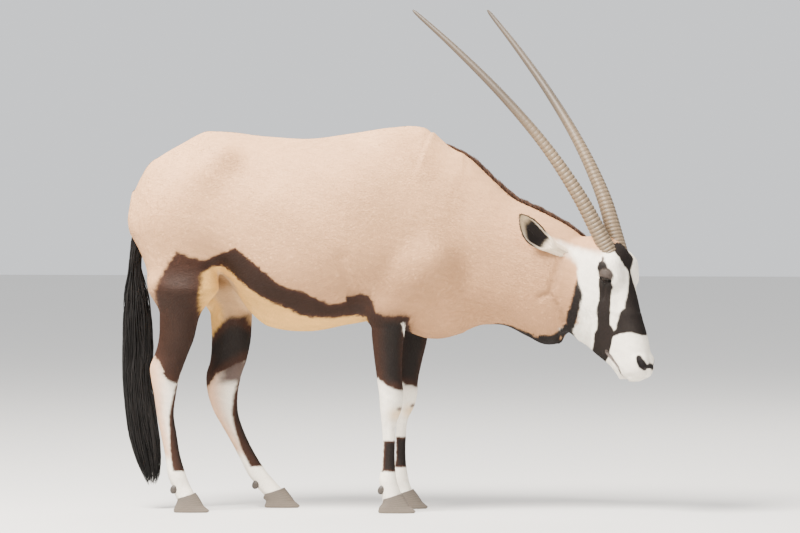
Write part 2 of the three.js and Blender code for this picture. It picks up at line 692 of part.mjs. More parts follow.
function buildNeck(grow) {
  const rings = [];
  for (let i = 0; i <= NECK_RINGS; i += 1) {
    const shift = i === 0 ? GAP : i === NECK_RINGS ? -GAP : 0;
    rings.push(neckRing(i / NECK_RINGS, shift, grow));
  }
  return loft(rings);
}

// The mane's locks lie over one another like shingles: each rises from the crest, a little to
// one side, and bends back towards the withers.
function maneLocks() {
  const random = seededRandom(MANE_SEED);
  const locks = [];
  for (let i = 0; i < MANE.locks; i += 1) {
    const t = THREE.MathUtils.lerp(MANE.from, MANE.to, (i + 0.4 * random()) / MANE.locks);
    const { up, across } = neckRingFrame(t);
    const backward = crestPoint(t - 0.03).sub(crestPoint(t + 0.03)).normalize();
    const height = (MANE.height + MANE.midHeight * Math.sin(Math.PI * t)) * (0.9 + 0.25 * random());
    const sideways = MANE.stagger * (i % 2 ? 1 : -1) + 3 * (random() - 0.5);
    const root = crestPoint(t).addScaledVector(across, sideways);
    const from = root.clone().addScaledVector(up, -MANE.sunk);
    const bend = root.clone().addScaledVector(up, height * 0.9)
      .addScaledVector(backward, MANE.length * 0.25);
    const tip = root.clone().addScaledVector(up, height).addScaledVector(backward, MANE.length)
      .addScaledVector(across, sideways * 0.6);
    locks.push(buildLock({
      path: new THREE.QuadraticBezierCurve3(from, bend, tip),
      broad: across.clone().addScaledVector(up, -0.5 * Math.sign(sideways)),
      width: MANE.width * (0.9 + 0.2 * random()), thickness: MANE.thickness, stops: 3,
    }));
  }
  return locks;
}

// Head

function headCentre(along) {
  return headPoint(along, 0, (measureAt(HEAD, 'top', along) + measureAt(HEAD, 'bottom', along)) / 2);
}

function headRing(along, lean, direction, grow) {
  return surfaceRing(bodyField, {
    centre: headCentre(along), up: HEAD_UP, across: HEAD_OUT, axis: direction, lean,
    sides: HEAD_SIDES, grow, limit: 230,
  });
}

function headMass(grow) {
  const back = HEAD_ALONG.clone().negate();
  const rings = [];
  for (const lean of POLL.leans) rings.push(headRing(POLL.at, lean, back, grow));
  for (let i = 0; i <= HEAD_RINGS; i += 1) {
    rings.push(headRing(THREE.MathUtils.lerp(POLL.at, MUZZLE.at, i / HEAD_RINGS), 0, back, grow));
  }
  for (const lean of MUZZLE.leans) rings.push(headRing(MUZZLE.at, lean, HEAD_ALONG, grow));
  return loft(
    rings,
    surfacePoint(bodyField, headCentre(POLL.at), back, grow),
    surfacePoint(bodyField, headCentre(MUZZLE.at), HEAD_ALONG, grow),
  );
}

function eyeCentre(side) {
  return headPoint(EYE.along, EYE.out * side, EYE.up);
}

function gaze(side) {
  return headDirection(0.1, side, 0.16);
}

// An almond as long as the eye's slit, swept outward from the middle of the eye.
function eyeSlit(side) {
  const half = EYE_SLIT.length / 2;
  const outline = new THREE.Shape();
  outline.moveTo(-half, -2);
  outline.quadraticCurveTo(-4, EYE_SLIT.height * 0.95, half, 1);
  outline.quadraticCurveTo(2, -EYE_SLIT.height * 0.85, -half, -2);
  const geometry = new THREE.ExtrudeGeometry(outline, { depth: 60, bevelEnabled: false, curveSegments: 7 });
  const outward = gaze(side);
  const corner = headDirection(0.94, 0, -0.3);
  corner.addScaledVector(outward, -corner.dot(outward)).normalize();
  const lift = outward.clone().cross(corner);
  if (lift.dot(HEAD_UP) < 0) lift.negate();
  const placement = new THREE.Matrix4().makeBasis(corner, lift, outward);
  placement.setPosition(eyeCentre(side));
  geometry.applyMatrix4(placement);
  return solidFromGeometry(geometry);
}

// A curved slot that opens the nostril on one side of the nose.
function nostril(side) {
  const outline = new THREE.Shape();
  outline.moveTo(-15, 4);
  outline.quadraticCurveTo(0, 15, 15, -2);
  outline.quadraticCurveTo(3, 5, -15, 4);
  const geometry = new THREE.ExtrudeGeometry(outline, { depth: 46, bevelEnabled: false, curveSegments: 5 });
  const outward = headDirection(0.55, side * 0.75, 0.35);
  const length = headDirection(0.75, -side * 0.2, -0.6);
  length.addScaledVector(outward, -length.dot(outward)).normalize();
  const lift = outward.clone().cross(length).multiplyScalar(side);
  const placement = new THREE.Matrix4().makeBasis(length, lift, outward);
  placement.setPosition(headPoint(388, 20 * side, 18));
  geometry.applyMatrix4(placement);
  return solidFromGeometry(geometry);
}

// The line of the mouth: a thin groove from one corner, round the muzzle's end, to the other.
function mouthGroove() {
  const sections = [];
  const addSection = (centre, direction, opening) => {
    const lip = surfacePoint(bodyField, centre, direction);
    sections.push([
      lip.clone().addScaledVector(direction, MOUTH.depth).addScaledVector(HEAD_UP, opening),
      lip.clone().addScaledVector(direction, -MOUTH.depth),
      lip.clone().addScaledVector(direction, MOUTH.depth).addScaledVector(HEAD_UP, -opening),
    ]);
  };
  const { corner, cornerUp, turn, turnUp } = MOUTH;
  const heightAt = (along) => THREE.MathUtils.mapLinear(along, corner, turn, cornerUp, turnUp);
  const sideStops = 5;
  const frontStops = 10;
  for (const side of [1, -1]) {
    for (let i = 0; i < sideStops; i += 1) {
      const t = side > 0 ? i / sideStops : 1 - i / sideStops;
      const along = THREE.MathUtils.lerp(corner, turn, t);
      const opening = i === 0 && side > 0 ? MOUTH.opening * 0.3 : MOUTH.opening;
      addSection(headPoint(along, 0, heightAt(along)), headDirection(0, side, 0), opening);
    }
    if (side < 0) break;
    for (let i = 0; i <= frontStops; i += 1) {
      const angle = Math.PI * (i / frontStops);
      const direction = headDirection(Math.sin(angle), Math.cos(angle), 0);
      addSection(headPoint(turn, 0, turnUp), direction, MOUTH.opening);
    }
  }
  return loft(sections);
}

function buildHead() {
  let head = headMass(0);
  for (const side of [1, -1]) {
    head = head.add(ballSolid(eyeCentre(side), EYE.radius + LID_THICKNESS, 14));
  }
  for (const side of [1, -1]) {
    head = head.subtract(ballSolid(eyeCentre(side), EYE.radius + GAP, 14));
    head = head.subtract(eyeSlit(side));
    head = head.subtract(nostril(side));
  }
  head = head.subtract(mouthGroove());
  head = head.subtract(halfSpace(NAPE_TOP, NAPE_NORMAL.clone().negate()));
  return largestPiece(head);
}

// Ears

// A leaf-shaped cup: each cross section is a bent strip that closes to a tube at the root.
function buildEar(root, tip, opening) {
  const axis = tip.clone().sub(root).normalize();
  const face = opening.clone().addScaledVector(axis, -opening.dot(axis)).normalize();
  const across = axis.clone().cross(face);
  const sag = across.clone().multiplyScalar(-Math.sign(across.z));
  const stops = 11;
  const half = 4;
  const rings = [];
  for (let i = 0; i <= stops; i += 1) {
    const t = i / stops;
    const width = measureAt(EAR, 'halfWidth', t);
    const wrap = radians(158 - 82 * THREE.MathUtils.smoothstep(t, 0.2, 0.52));
    const radius = width / Math.sin(Math.min(wrap, Math.PI / 2));
    const wall = EAR_THICKNESS * (1 - 0.55 * t);
    const sink = THREE.MathUtils.smoothstep(t, 0.3, 0.45);
    const middle = root.clone().addScaledVector(axis, EAR_LENGTH * t);
    middle.addScaledVector(face, -8 * Math.sin(Math.PI * t));
    middle.addScaledVector(sag, EAR_SAG * Math.sin(Math.PI * t));
    const ring = [];
    for (let k = -half; k <= half; k += 1) {
      const angle = wrap * (k / half);
      ring.push(middle.clone().addScaledVector(across, radius * Math.sin(angle))
        .addScaledVector(face, -radius * Math.cos(angle) * 0.8));
    }
    const inner = Math.max(radius - wall, 0.3);
    for (let k = half; k >= -half; k -= 1) {
      const angle = wrap * (k / half);
      const sideways = THREE.MathUtils.lerp(EAR_GROOVE.halfWidth * (k / half), Math.sin(angle), sink);
      const inward = THREE.MathUtils.lerp(-EAR_GROOVE.floor, Math.cos(angle) * 0.8, sink);
      ring.push(middle.clone().addScaledVector(across, inner * sideways)
        .addScaledVector(face, -inner * inward));
    }
    rings.push(ring);
  }
  return loft(rings);
}

const EAR_POSES = {
  ear_right: {
    root: headPoint(-7, 73, -114), reachTo: vector(-144, -105, 122), opening: vector(0.1, -1, 0.05),
  },
  ear_left: {
    root: headPoint(-9, -61, -96), reachTo: vector(-150, 150, 74), opening: vector(0.3, 0.9, 0.1),
  },
};

function earSolid(name) {
  const pose = EAR_POSES[name];
  const direction = pose.reachTo.clone().normalize();
  const root = pose.root.clone().addScaledVector(direction, -6);
  return buildEar(root, root.clone().addScaledVector(direction, EAR_LENGTH), pose.opening);
}

// Horns

function buildHorn(side) {
  const place = ([behind, above, beside]) => HEAD_ORIGIN.clone().addScaledVector(HEAD_AHEAD, -behind)
    .addScaledVector(UP, above).addScaledVector(HEAD_OUT, beside * side);
  const line = new THREE.CatmullRomCurve3(HORN_LINE.map(place));
  const start = line.getPointAt(0);
  const rootDirection = line.getTangentAt(0);
  const stops = [];
  for (let i = 0; i < HORN_RINGS; i += 1) {
    const place0 = HORN_RINGED_PART * ((i + 0.5) / HORN_RINGS) ** 1.12;
    const place1 = HORN_RINGED_PART * ((i + 1) / HORN_RINGS) ** 1.12;
    const height = HORN_RING_HEIGHT * (1 - 0.75 * (i / HORN_RINGS) ** 2);
    stops.push({ t: place0, bulge: height }, { t: place1, bulge: -height * 0.6 });
  }
  for (const t of [0.64, 0.72, 0.8, 0.87, 0.93, 0.975]) stops.push({ t, bulge: 0 });
  const ringAt = (centre, tangent, radius) => {
    const across = HEAD_OUT.clone().addScaledVector(tangent, -HEAD_OUT.dot(tangent)).normalize();
    const up = tangent.clone().cross(across);
    const ring = [];
    for (let k = 0; k < HORN_SIDES; k += 1) {
      const angle = (k / HORN_SIDES) * 2 * Math.PI;
      ring.push(centre.clone().addScaledVector(across, radius * 0.96 * Math.cos(angle))
        .addScaledVector(up, radius * 1.04 * Math.sin(angle)));
    }
    return ring;
  };
  const rings = [ringAt(start.clone().addScaledVector(rootDirection, -HORN_ROOT_DEPTH), rootDirection,
    HORN_RADII[0].radius)];
  for (const stop of stops) {
    const radius = measureAt(HORN_RADII, 'radius', stop.t) + stop.bulge;
    rings.push(ringAt(line.getPointAt(stop.t), line.getTangentAt(stop.t), radius));
  }
  return loft(rings, null, line.getPointAt(1));
}

// Legs and hooves

function legMiddle(leg, z) {
  const x = (measureAt(leg.outline, 'back', z) + measureAt(leg.outline, 'front', z)) / 2;
  const y = (measureAt(leg.outline, 'inner', z) + measureAt(leg.outline, 'outer', z)) / 2;
  return vector(x, y * leg.side, z);
}

function legHeights(leg, upper) {
  const heights = leg.outline.map((station) => station.at).filter((z) => z > CORONET_HEIGHT + 8);
  const all = [];
  for (let i = 0; i < heights.length; i += 1) {
    all.push(heights[i]);
    if (i < heights.length - 1 && heights[i] < FINE_BELOW) all.push((heights[i] + heights[i + 1]) / 2);
  }
  const top = leg.name in THIGHS ? THIGH.bottom - GAP : Infinity;
  const inLength = all.filter((z) => (upper ? z > leg.split + 6 : z < leg.split - 6) && z < top - 6);
  return upper && Number.isFinite(top) ? [top, ...inLength] : inLength;
}

// One length of a leg between two heights; the lowest ring may slope with the coronet.
function legLength(leg, upper, grow) {
  const field = legField(leg);
  const ringAt = (z) => surfaceRing(field, {
    centre: legMiddle(leg, z), up: AHEAD, across: SIDE, sides: LEG_SIDES, grow, limit: 160,
  });
  const rings = legHeights(leg, upper).map(ringAt);
  if (upper) {
    rings.push(ringAt(leg.split + GAP));
  } else {
    rings.unshift(ringAt(leg.split));
    const foot = legMiddle(leg, CORONET_HEIGHT);
    const coronet = ({ x, y }) => vector(x, y, CORONET_HEIGHT + CORONET_SLOPE * (x - foot.x));
    rings.push(ringAt(CORONET_HEIGHT).map(coronet));
  }
  return loft(rings);
}

// One claw: a pointed wedge whose flat sole stands on the ground and whose top follows the coronet.
function buildClaw(leg, inward) {
  const foot = legMiddle(leg, CORONET_HEIGHT);
  const back = measureAt(leg.outline, 'back', CORONET_HEIGHT);
  const front = measureAt(leg.outline, 'front', CORONET_HEIGHT);
  const halfFoot = (measureAt(leg.outline, 'outer', CORONET_HEIGHT)
    - measureAt(leg.outline, 'inner', CORONET_HEIGHT)) / 2;
  const lateral = inward ? -1 : 1;
  const clawWidth = halfFoot - CLEFT / 2;
  const middleY = foot.y + leg.side * lateral * (CLEFT / 2 + clawWidth / 2);
  const levels = [
    { z: 0, back: leg.hoofBack + 4, toe: leg.hoofToe - 3, spread: 1.06 },
    { z: 4, back: leg.hoofBack, toe: leg.hoofToe, spread: 1.1 },
    { z: 20, back: leg.hoofBack + 4, toe: leg.hoofToe - 18, spread: 1.08 },
    { z: null, back: back + 3, toe: front - 2, spread: 0.97 },
  ];
  const sides = 10;
  const rings = levels.map((level) => {
    const ring = [];
    const centreX = (level.back + level.toe) / 2;
    const halfLength = (level.toe - level.back) / 2;
    for (let k = 0; k < sides; k += 1) {
      const angle = ((k + 0.5) / sides) * 2 * Math.PI;
      const ahead = Math.cos(angle);
      const narrow = 1 - 0.55 * Math.max(ahead, 0) ** 2;
      const x = centreX + halfLength * Math.sign(ahead) * Math.abs(ahead) ** 0.8;
      const swell = lateral * leg.side * Math.sin(angle) > 0 ? level.spread : 1;
      const y = middleY + (clawWidth / 2) * Math.sin(angle) * narrow * swell;
      const z = level.z ?? CORONET_HEIGHT + CORONET_SLOPE * (x - foot.x) - GAP;
      ring.push(vector(x, y, z));
    }
    return ring;
  });
  return loft(rings);
}

// A small blunt claw at the back of the fetlock.
function buildDewclaw(leg, inward, legSolid) {
  const lateral = (inward ? -1 : 1) * leg.side;
  const back = measureAt(leg.outline, 'back', DEWCLAW_HEIGHT);
  const middle = legMiddle(leg, DEWCLAW_HEIGHT);
  const geometry = new THREE.SphereGeometry(1, 6, 4);
  geometry.scale(13, 10, 17);
  geometry.rotateY(radians(20));
  geometry.translate(back + 3, middle.y + lateral * 15, DEWCLAW_HEIGHT);
  return largestPiece(solidFromGeometry(geometry).subtract(legSolid));
}

// Tail

// A point round the tail at a height: `share` is 0 on its middle line and 1 at the hair's outline.
function tailPoint(z, angle, share) {
  const back = measureAt(TAIL, 'back', z);
  const front = measureAt(TAIL, 'front', z);
  const x = (back + front) / 2 + share * ((front - back) / 2) * Math.cos(angle);
  return vector(x, share * measureAt(TAIL, 'wide', z) * Math.sin(angle), z);
}

// The share of the hair's outline that the core fills: all of it at the root, half way to the
// tips below.
function tailCoreShare(z) {
  const outline = (measureAt(TAIL, 'front', z) - measureAt(TAIL, 'back', z)) / 2;
  const dock = Math.min(DOCK_RADIUS / outline, 1);
  const halfWay = dock + (1 - dock) * TAIL_CORE_SHARE;
  return THREE.MathUtils.lerp(halfWay, 1, THREE.MathUtils.smoothstep(z, 740, 830));
}

function tailCore() {
  const rings = [];
  const spacing = 66;
  for (let z = TAIL_ROOT; z > TAIL_CORE_END; z -= spacing) {
    const thinning = THREE.MathUtils.lerp(0.45, 1, THREE.MathUtils.smoothstep(z, TAIL_CORE_END, 460));
    const share = tailCoreShare(z) * thinning;
    const pointAt = (_, k) => tailPoint(z, (k / TAIL_SIDES) * 2 * Math.PI, share);
    rings.push(Array.from({ length: TAIL_SIDES }, pointAt));
  }
  return loft(rings, null, tailPoint(TAIL_CORE_END, 0, 0));
}

// One lock that leaves the core, swings out to the hair's outline and hangs to its tip.
function tailLock(height, angle, length, random) {
  const twist = 0.5 * (random() - 0.5);
  const outward = 0.88 + 0.08 * random();
  const points = [0, 0.25, 0.5, 0.75, 1].map((t) => {
    const z = Math.max(height - length * t, TAIL_LOCK.lowest);
    const leaving = THREE.MathUtils.smoothstep(t, -0.1, 0.55);
    const share = THREE.MathUtils.lerp(tailCoreShare(height) * 0.6, outward, leaving);
    return tailPoint(z, angle + twist * t, share);
  });
  return buildLock({
    path: new THREE.CatmullRomCurve3(points),
    broad: vector(-Math.sin(angle + twist / 2), Math.cos(angle + twist / 2), 0),
    width: TAIL_LOCK.width * (0.85 + 0.3 * random()), thickness: TAIL_LOCK.thickness, stops: 3,
  });
}

function tailLocks() {
  const random = seededRandom(TAIL_SEED);
  const locks = [];
  TAIL_TIERS.forEach((tier, t) => {
    for (let i = 0; i < tier.locks; i += 1) {
      const angle = ((i + 0.5 * (t % 2) + 0.3 * random()) / tier.locks) * 2 * Math.PI;
      const height = tier.root + 34 * (random() - 0.5);
      locks.push(tailLock(height, angle, tier.length * (0.86 + 0.14 * random()), random));
    }
  });
  return locks;
}

// The named parts

const animal = new THREE.Group();

function addPart(name, solid, colour, roughness = 0.8) {
  const { vertProperties, triVerts } = solid.getMesh();
  const geometry = new THREE.BufferGeometry();
  geometry.setAttribute('position', new THREE.BufferAttribute(new Float32Array(vertProperties), 3));
  geometry.setIndex(new THREE.BufferAttribute(new Uint32Array(triVerts), 1));
  const material = new THREE.MeshStandardMaterial({ color: colour, roughness, metalness: 0 });
  const mesh = new THREE.Mesh(geometry, material);
  mesh.name = name;
  animal.add(mesh);
  return mesh;
}

const torsoGrown = buildTorso(GAP);
const headGrown = headMass(GAP);
const neckGrown = buildNeck(GAP);

addPart('torso', buildTorso(0), COLOURS.coat);
addPart('neck', withLocks(buildNeck(0), maneLocks(), [torsoGrown]), COLOURS.coat);
addPart('head', buildHead(), COLOURS.pale);
addPart('tail', withLocks(tailCore(), tailLocks(), [torsoGrown]), COLOURS.dark);

for (const [name, side] of [['right', 1], ['left', -1]]) {
  addPart(`horn_${name}`, largestPiece(buildHorn(side).subtract(headGrown)), COLOURS.horn, 0.6);
  addPart(`eye_${name}`, ballSolid(eyeCentre(side), EYE.radius, 14), COLOURS.eye, 0.1);
  const ear = earSolid(`ear_${name}`);
  addPart(`ear_${name}`, largestPiece(ear.subtract(headGrown).subtract(neckGrown)), COLOURS.pale);
}

for (const leg of LEGS) {
  const upper = legLength(leg, true, 0).subtract(torsoGrown);
  addPart(`${leg.name}_upper`, largestPiece(upper), COLOURS.dark);
  addPart(`${leg.name}_lower`, legLength(leg, false, 0), COLOURS.pale);
  const lowerGrown = legLength(leg, false, GAP);
  for (const inward of [true, false]) {
    const place = inward ? 'inner' : 'outer';
    addPart(`${leg.name}_claw_${place}`, buildClaw(leg, inward), COLOURS.hoof, 0.55);
    addPart(`${leg.name}_dewclaw_${place}`, buildDewclaw(leg, inward, lowerGrown), COLOURS.hoof, 0.55);
  }
}

// The origin lies on the ground, in the middle of the whole animal's length and width.
const bounds = new THREE.Box3().setFromObject(animal);
const middle = bounds.getCenter(vector());
animal.position.set(-middle.x, -middle.y, 0);

export default animal;
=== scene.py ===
"""A gemsbok, life size and still: skin, coat, hair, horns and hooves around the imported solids.

Shapes are worked out in the millimetres of the solids' own design and moved into the frame at
the end. The head has a frame of its own: along the face, out to its right and up off it.
"""
import functools
import math
from types import SimpleNamespace

import bpy
import numpy as np
import openvdb
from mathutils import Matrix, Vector


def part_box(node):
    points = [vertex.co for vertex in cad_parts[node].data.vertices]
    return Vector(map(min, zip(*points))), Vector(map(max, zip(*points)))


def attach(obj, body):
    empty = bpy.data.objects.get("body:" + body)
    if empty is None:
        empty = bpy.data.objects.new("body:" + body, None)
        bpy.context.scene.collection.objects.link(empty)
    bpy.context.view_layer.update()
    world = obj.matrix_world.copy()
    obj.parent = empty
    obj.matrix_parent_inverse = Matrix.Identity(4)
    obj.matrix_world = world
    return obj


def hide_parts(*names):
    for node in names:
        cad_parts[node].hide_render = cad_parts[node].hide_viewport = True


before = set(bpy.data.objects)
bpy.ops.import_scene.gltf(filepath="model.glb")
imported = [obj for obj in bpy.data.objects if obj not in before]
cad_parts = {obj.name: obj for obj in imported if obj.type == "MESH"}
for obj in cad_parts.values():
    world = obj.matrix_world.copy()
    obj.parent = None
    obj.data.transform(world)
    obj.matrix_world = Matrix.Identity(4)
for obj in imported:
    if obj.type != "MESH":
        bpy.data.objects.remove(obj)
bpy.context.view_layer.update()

# Driving dimensions, the same as in the solids

TRUNK = [  # at, top, bottom, wide, belt
    (-783, 1000, 868, 74, 935), (-745, 1072, 825, 112, 935), (-700, 1105, 800, 145, 930),
    (-640, 1140, 778, 172, 925), (-570, 1176, 768, 188, 915), (-527, 1178, 752, 197, 900),
    (-476, 1175, 688, 205, 885), (-425, 1168, 614, 214, 868), (-367, 1162, 569, 224, 850),
    (-242, 1156, 555, 232, 835), (-118, 1172, 577, 222, 835), (-9, 1189, 592, 198, 845),
    (99, 1195, 578, 168, 850), (177, 1156, 582, 138, 850), (235, 1080, 600, 105, 850),
]
NECK_FOOT = (100, 0, 880)
NECK_SLOPE = 20.8
NECK_BEND = 62
NECK = [
    (-60, 270, -262, 140, -20), (58, 262, -278, 144, -30), (147, 228, -285, 132, -50),
    (236, 194, -238, 114, -50), (297, 188, -211, 102, -40), (356, 185, -192, 94, -35),
    (430, 176, -198, 86, -30), (490, 160, -203, 79, -25), (532, 145, -182, 74, -20),
    (580, 128, -128, 66, -20), (640, 108, -96, 54, -20),
]
HEAD_ORIGIN = (697, -105, 829)
HEAD_YAW = 35
HEAD_PITCH = 74
HEAD = [
    (-26, -2, -120, 46, -70), (0, 28, -142, 58, -62), (40, 48, -155, 65, -50),
    (95, 49, -163, 63, -42), (140, 46, -168, 59, -46), (190, 46, -178, 56, -52),
    (246, 50, -188, 52, -56), (295, 53, -160, 50, -42), (345, 50, -114, 47, -24),
    (380, 46, -82, 45, -12), (400, 38, -63, 41, -10), (412, 22, -44, 31, -10),
]
EYE = {"along": 98, "out": 56, "up": 0, "radius": 20}
HORN_LINE = [
    (0, 0, 31), (78, 149, 60), (189, 304, 88), (332, 459, 121), (490, 604, 156), (636, 725, 188),
]
LEGS = {  # at, back, front, inner, outer
    "foreleg_right": {"side": -1, "hoof": (-22, 92), "outline": [
        (700, -40, 80, 75, 140), (650, -45, 82, 52, 158), (610, -48, 72, 55, 155),
        (552, -45, 60, 62, 147), (490, -39, 54, 68, 141), (420, -30, 53, 71, 138),
        (367, -22, 57, 69, 141), (320, -19, 51, 73, 137), (274, -14, 35, 82, 128),
        (212, -11, 31, 84, 126), (150, -14, 31, 84, 126), (104, -22, 36, 78, 132),
        (75, -20, 45, 77, 133), (40, -12, 57, 73, 137)]},
    "foreleg_left": {"side": 1, "hoof": (2, 116), "outline": [
        (700, 10, 130, 75, 140), (650, -8, 132, 52, 158), (585, -8, 124, 56, 152),
        (520, -5, 116, 64, 145), (461, -1, 102, 69, 140), (400, 5, 89, 71, 138),
        (360, 11, 86, 69, 141), (322, 14, 77, 73, 137), (275, 16, 56, 82, 128),
        (213, 14, 50, 84, 126), (151, 13, 50, 84, 126), (104, 4, 56, 78, 132),
        (72, 4, 64, 77, 133), (40, 12, 80, 73, 137)]},
    "hindleg_right": {"side": -1, "hoof": (-655, -547), "outline": [
        (770, -690, -590, 95, 150), (720, -716, -545, 60, 176), (690, -712, -533, 42, 188),
        (645, -704, -555, 50, 184), (600, -701, -576, 60, 175), (537, -704, -591, 74, 165),
        (490, -717, -608, 86, 156), (450, -732, -623, 88, 154), (410, -729, -636, 92, 149),
        (363, -720, -645, 97, 144), (302, -711, -652, 100, 140), (240, -699, -643, 101, 139),
        (178, -686, -633, 101, 139), (117, -677, -616, 95, 145), (78, -664, -600, 94, 146),
        (40, -648, -580, 89, 151)]},
    "hindleg_left": {"side": 1, "hoof": (-394, -286), "outline": [
        (770, -570, -480, 95, 150), (720, -592, -448, 60, 176), (690, -590, -434, 42, 188),
        (648, -572, -431, 50, 184), (585, -565, -433, 62, 174), (523, -563, -436, 74, 165),
        (460, -569, -448, 86, 156), (412, -582, -464, 88, 154), (357, -578, -474, 94, 147),
        (302, -560, -474, 99, 142), (258, -535, -463, 101, 140), (204, -503, -441, 101, 139),
        (150, -474, -412, 99, 141), (104, -451, -380, 95, 145), (70, -428, -350, 93, 147),
        (40, -400, -324, 89, 151)]},
}
CORONET_HEIGHT = 41
CORONET_SLOPE = 0.32
CLEFT = 5
DEWCLAW_HEIGHT = 72
TAIL = [  # at, back, front, wide
    (902, -772, -728, 16), (870, -796, -752, 20), (800, -806, -764, 20), (741, -812, -764, 23),
    (673, -825, -744, 30), (590, -829, -733, 36), (500, -830, -728, 38), (403, -830, -733, 37),
    (310, -822, -721, 34), (230, -811, -710, 30), (150, -786, -706, 24), (100, -763, -712, 14),
    (72, -748, -728, 5),
]
END_CAP = 15

# Muscles and bones: from, to, radii, flat, blend

PAIRED_MUSCLES = [
    ((5, 62, 1105), (125, 128, 790), (48, 72), 0.75, 60),
    ((130, 130, 770), (0, 118, 668), (74, 64), 0.8, 50),
    ((-60, 128, 760), (-12, 120, 650), (68, 50), 0.7, 50),
    ((-505, 135, 1085), (-545, 140, 1045), (34, 34), 0.8, 70),
    ((-700, 78, 960), (-748, 62, 905), (70, 46), 0.8, 60),
]
THIGHS = {
    -1: [((-640, 100, 930), (-597, 118, 735), (108, 70), 0.75, 70),
         ((-690, 95, 870), (-668, 118, 710), (88, 54), 0.75, 60)],
    1: [((-625, 100, 930), (-506, 118, 722), (108, 72), 0.75, 70),
        ((-680, 95, 870), (-560, 118, 700), (88, 54), 0.75, 60)],
}
BRISKET = ((120, 0, 645), (180, 0, 632), (60, 72), 0.85, 60)
HEAD_MUSCLES = [
    ((150, 36, -92), (215, 34, -96), (58, 50), 0.42, 22),
    ((74, 48, 2), (112, 48, -4), (30, 27), 0.9, 30),
    ((66, 42, 20), (104, 45, 18), (18, 15), 1, 30),
    ((132, 40, -22), (230, 30, -30), (20, 14), 0.8, 26),
    ((378, 18, 20), (402, 17, 12), (25, 22), 0.9, 16),
    ((372, 14, -24), (408, 13, -20), (28, 20), 1, 14),
    ((368, 12, -64), (396, 9, -64), (20, 15), 1, 12),
]

# How square the sections are: 2 makes an ellipse, more a squarer form
TRUNK_POWER = 2.15
NECK_POWER = 2.1
HEAD_POWER = 2.3
LEG_POWER = 2.1

# Where a part is drawn in before it ends inside its neighbour: from, to, by. The neck's is
# measured backward, the legs' from their tops up
TRUNK_FADE = (110, 250, 34)
NECK_FADE = (-60, 70, 30)
LEG_FADE = (-90, 10, 30)

# How far the bare skin lies under the outline of the coat
COAT_DEPTH = 3.0
BODY_PITCH = 6.0
SPACE_LOW = (-850, -345, 20)
SPACE_HIGH = (850, 270, 1230)


# Small helpers


def smoothstep(value, low, high):
    t = np.clip((value - low) / (high - low), 0, 1)
    return t * t * (3 - 2 * t)


def mix(one, other, share):
    return one * (1 - share) + other * share


def least(*depths):
    """The smallest of several depths at each point: how deep it lies in all of them."""
    return functools.reduce(np.minimum, depths)


def curve_table(rows, samples=500):
    """The rows' measures as smooth curves, sampled closely; column 0 says where."""
    rows = np.array(sorted(map(tuple, rows)), float)
    at = rows[:, 0]
    dense = np.linspace(at[0], at[-1], samples)
    i = np.clip(np.searchsorted(at, dense, side="right") - 1, 0, len(at) - 2)
    before = np.maximum(i - 1, 0)
    after = np.minimum(i + 2, len(at) - 1)
    span = (at[i + 1] - at[i])[:, None]
    t = (dense[:, None] - at[i][:, None]) / span
    start = (rows[i + 1] - rows[before]) / (at[i + 1] - at[before])[:, None]
    end = (rows[after] - rows[i]) / (at[after] - at[i])[:, None]
    table = (2 * t**3 - 3 * t**2 + 1) * rows[i] + (t**3 - 2 * t**2 + t) * span * start
    table += (3 * t**2 - 2 * t**3) * rows[i + 1] + (t**3 - t**2) * span * end
    table[:, 0] = dense
    return table


def read(table, column, at):
    return np.interp(at, table[:, 0], table[:, column])


def fuse(a, b, blend):
    """Joins two fields with a fillet about `blend` wide."""
    overlap = np.maximum(blend - np.abs(a - b), 0) / blend
    return np.minimum(a, b) - overlap * overlap * blend * 0.25


def carve(field, tool, blend):
    """Cuts a tool's form out of a field with a rounded edge."""
    return -fuse(-field, tool, blend)


def section(u, v, half_u, half_v, power, past):
    """A rounded section of the given half sizes, closed by a cap where a point is past an end."""
    ratio = (np.abs(u / half_u) ** power + np.abs(v / half_v) ** power) ** (1 / power)
    size = np.minimum(half_u, half_v)
    return np.hypot(ratio * size, past * size / END_CAP) - size


def past_ends(table, at):
    return np.maximum(np.maximum(table[0, 0] - at, at - table[-1, 0]), 0)


def belted(table, at, side, height, power):
    belt = read(table, 4, at)
    edge = np.where(height > belt, read(table, 1, at), read(table, 2, at))
    wide = read(table, 3, at)
    return section(side, height - belt, wide, np.abs(edge - belt), power, past_ends(table, at))


def capsule(points, start, end, radii, flat=1.0):
    """A tapered muscle or bone; `flat` below 1 makes it thinner across the body."""
    start = np.array(start, float)
    axis = np.array(end, float) - start
    offset = points - start
    t = np.clip(offset @ axis / (axis @ axis), 0, 1)
    away = offset - t[:, None] * axis
    distance = np.sqrt(away[:, 0] ** 2 + (away[:, 1] / flat) ** 2 + away[:, 2] ** 2)
    return (distance - (radii[0] + (radii[1] - radii[0]) * t)) * math.sqrt(flat)


def mirrored(points):
    """The same points with their second measure made positive."""
    both = points.copy()
    both[:, 1] = np.abs(both[:, 1])
    return both


def line_distance(points, stops):
    """How far points are from a line through the stops."""
    best = np.full(len(points), 1e9)
    for start, end in zip(stops[:-1], stops[1:]):
        best = np.minimum(best, capsule(points, start, end, (0, 0)))
    return best


def crease_depth(points, creases, relief=0.0):
    """How deep creases press a surface in at each point, on top of a relief it has."""
    for stops, width, depth in creases:
        relief = relief + depth * np.exp(-((line_distance(points, stops) / width) ** 2))
    return relief


def unit(vector):
    vector = np.asarray(vector, float)
    return vector / np.linalg.norm(vector)


def unit_rows(vectors):
    return vectors / np.maximum(np.linalg.norm(vectors, axis=1, keepdims=True), 1e-9)


def corners_of(points, triangles):
    return (points[triangles[:, i]] for i in range(3))


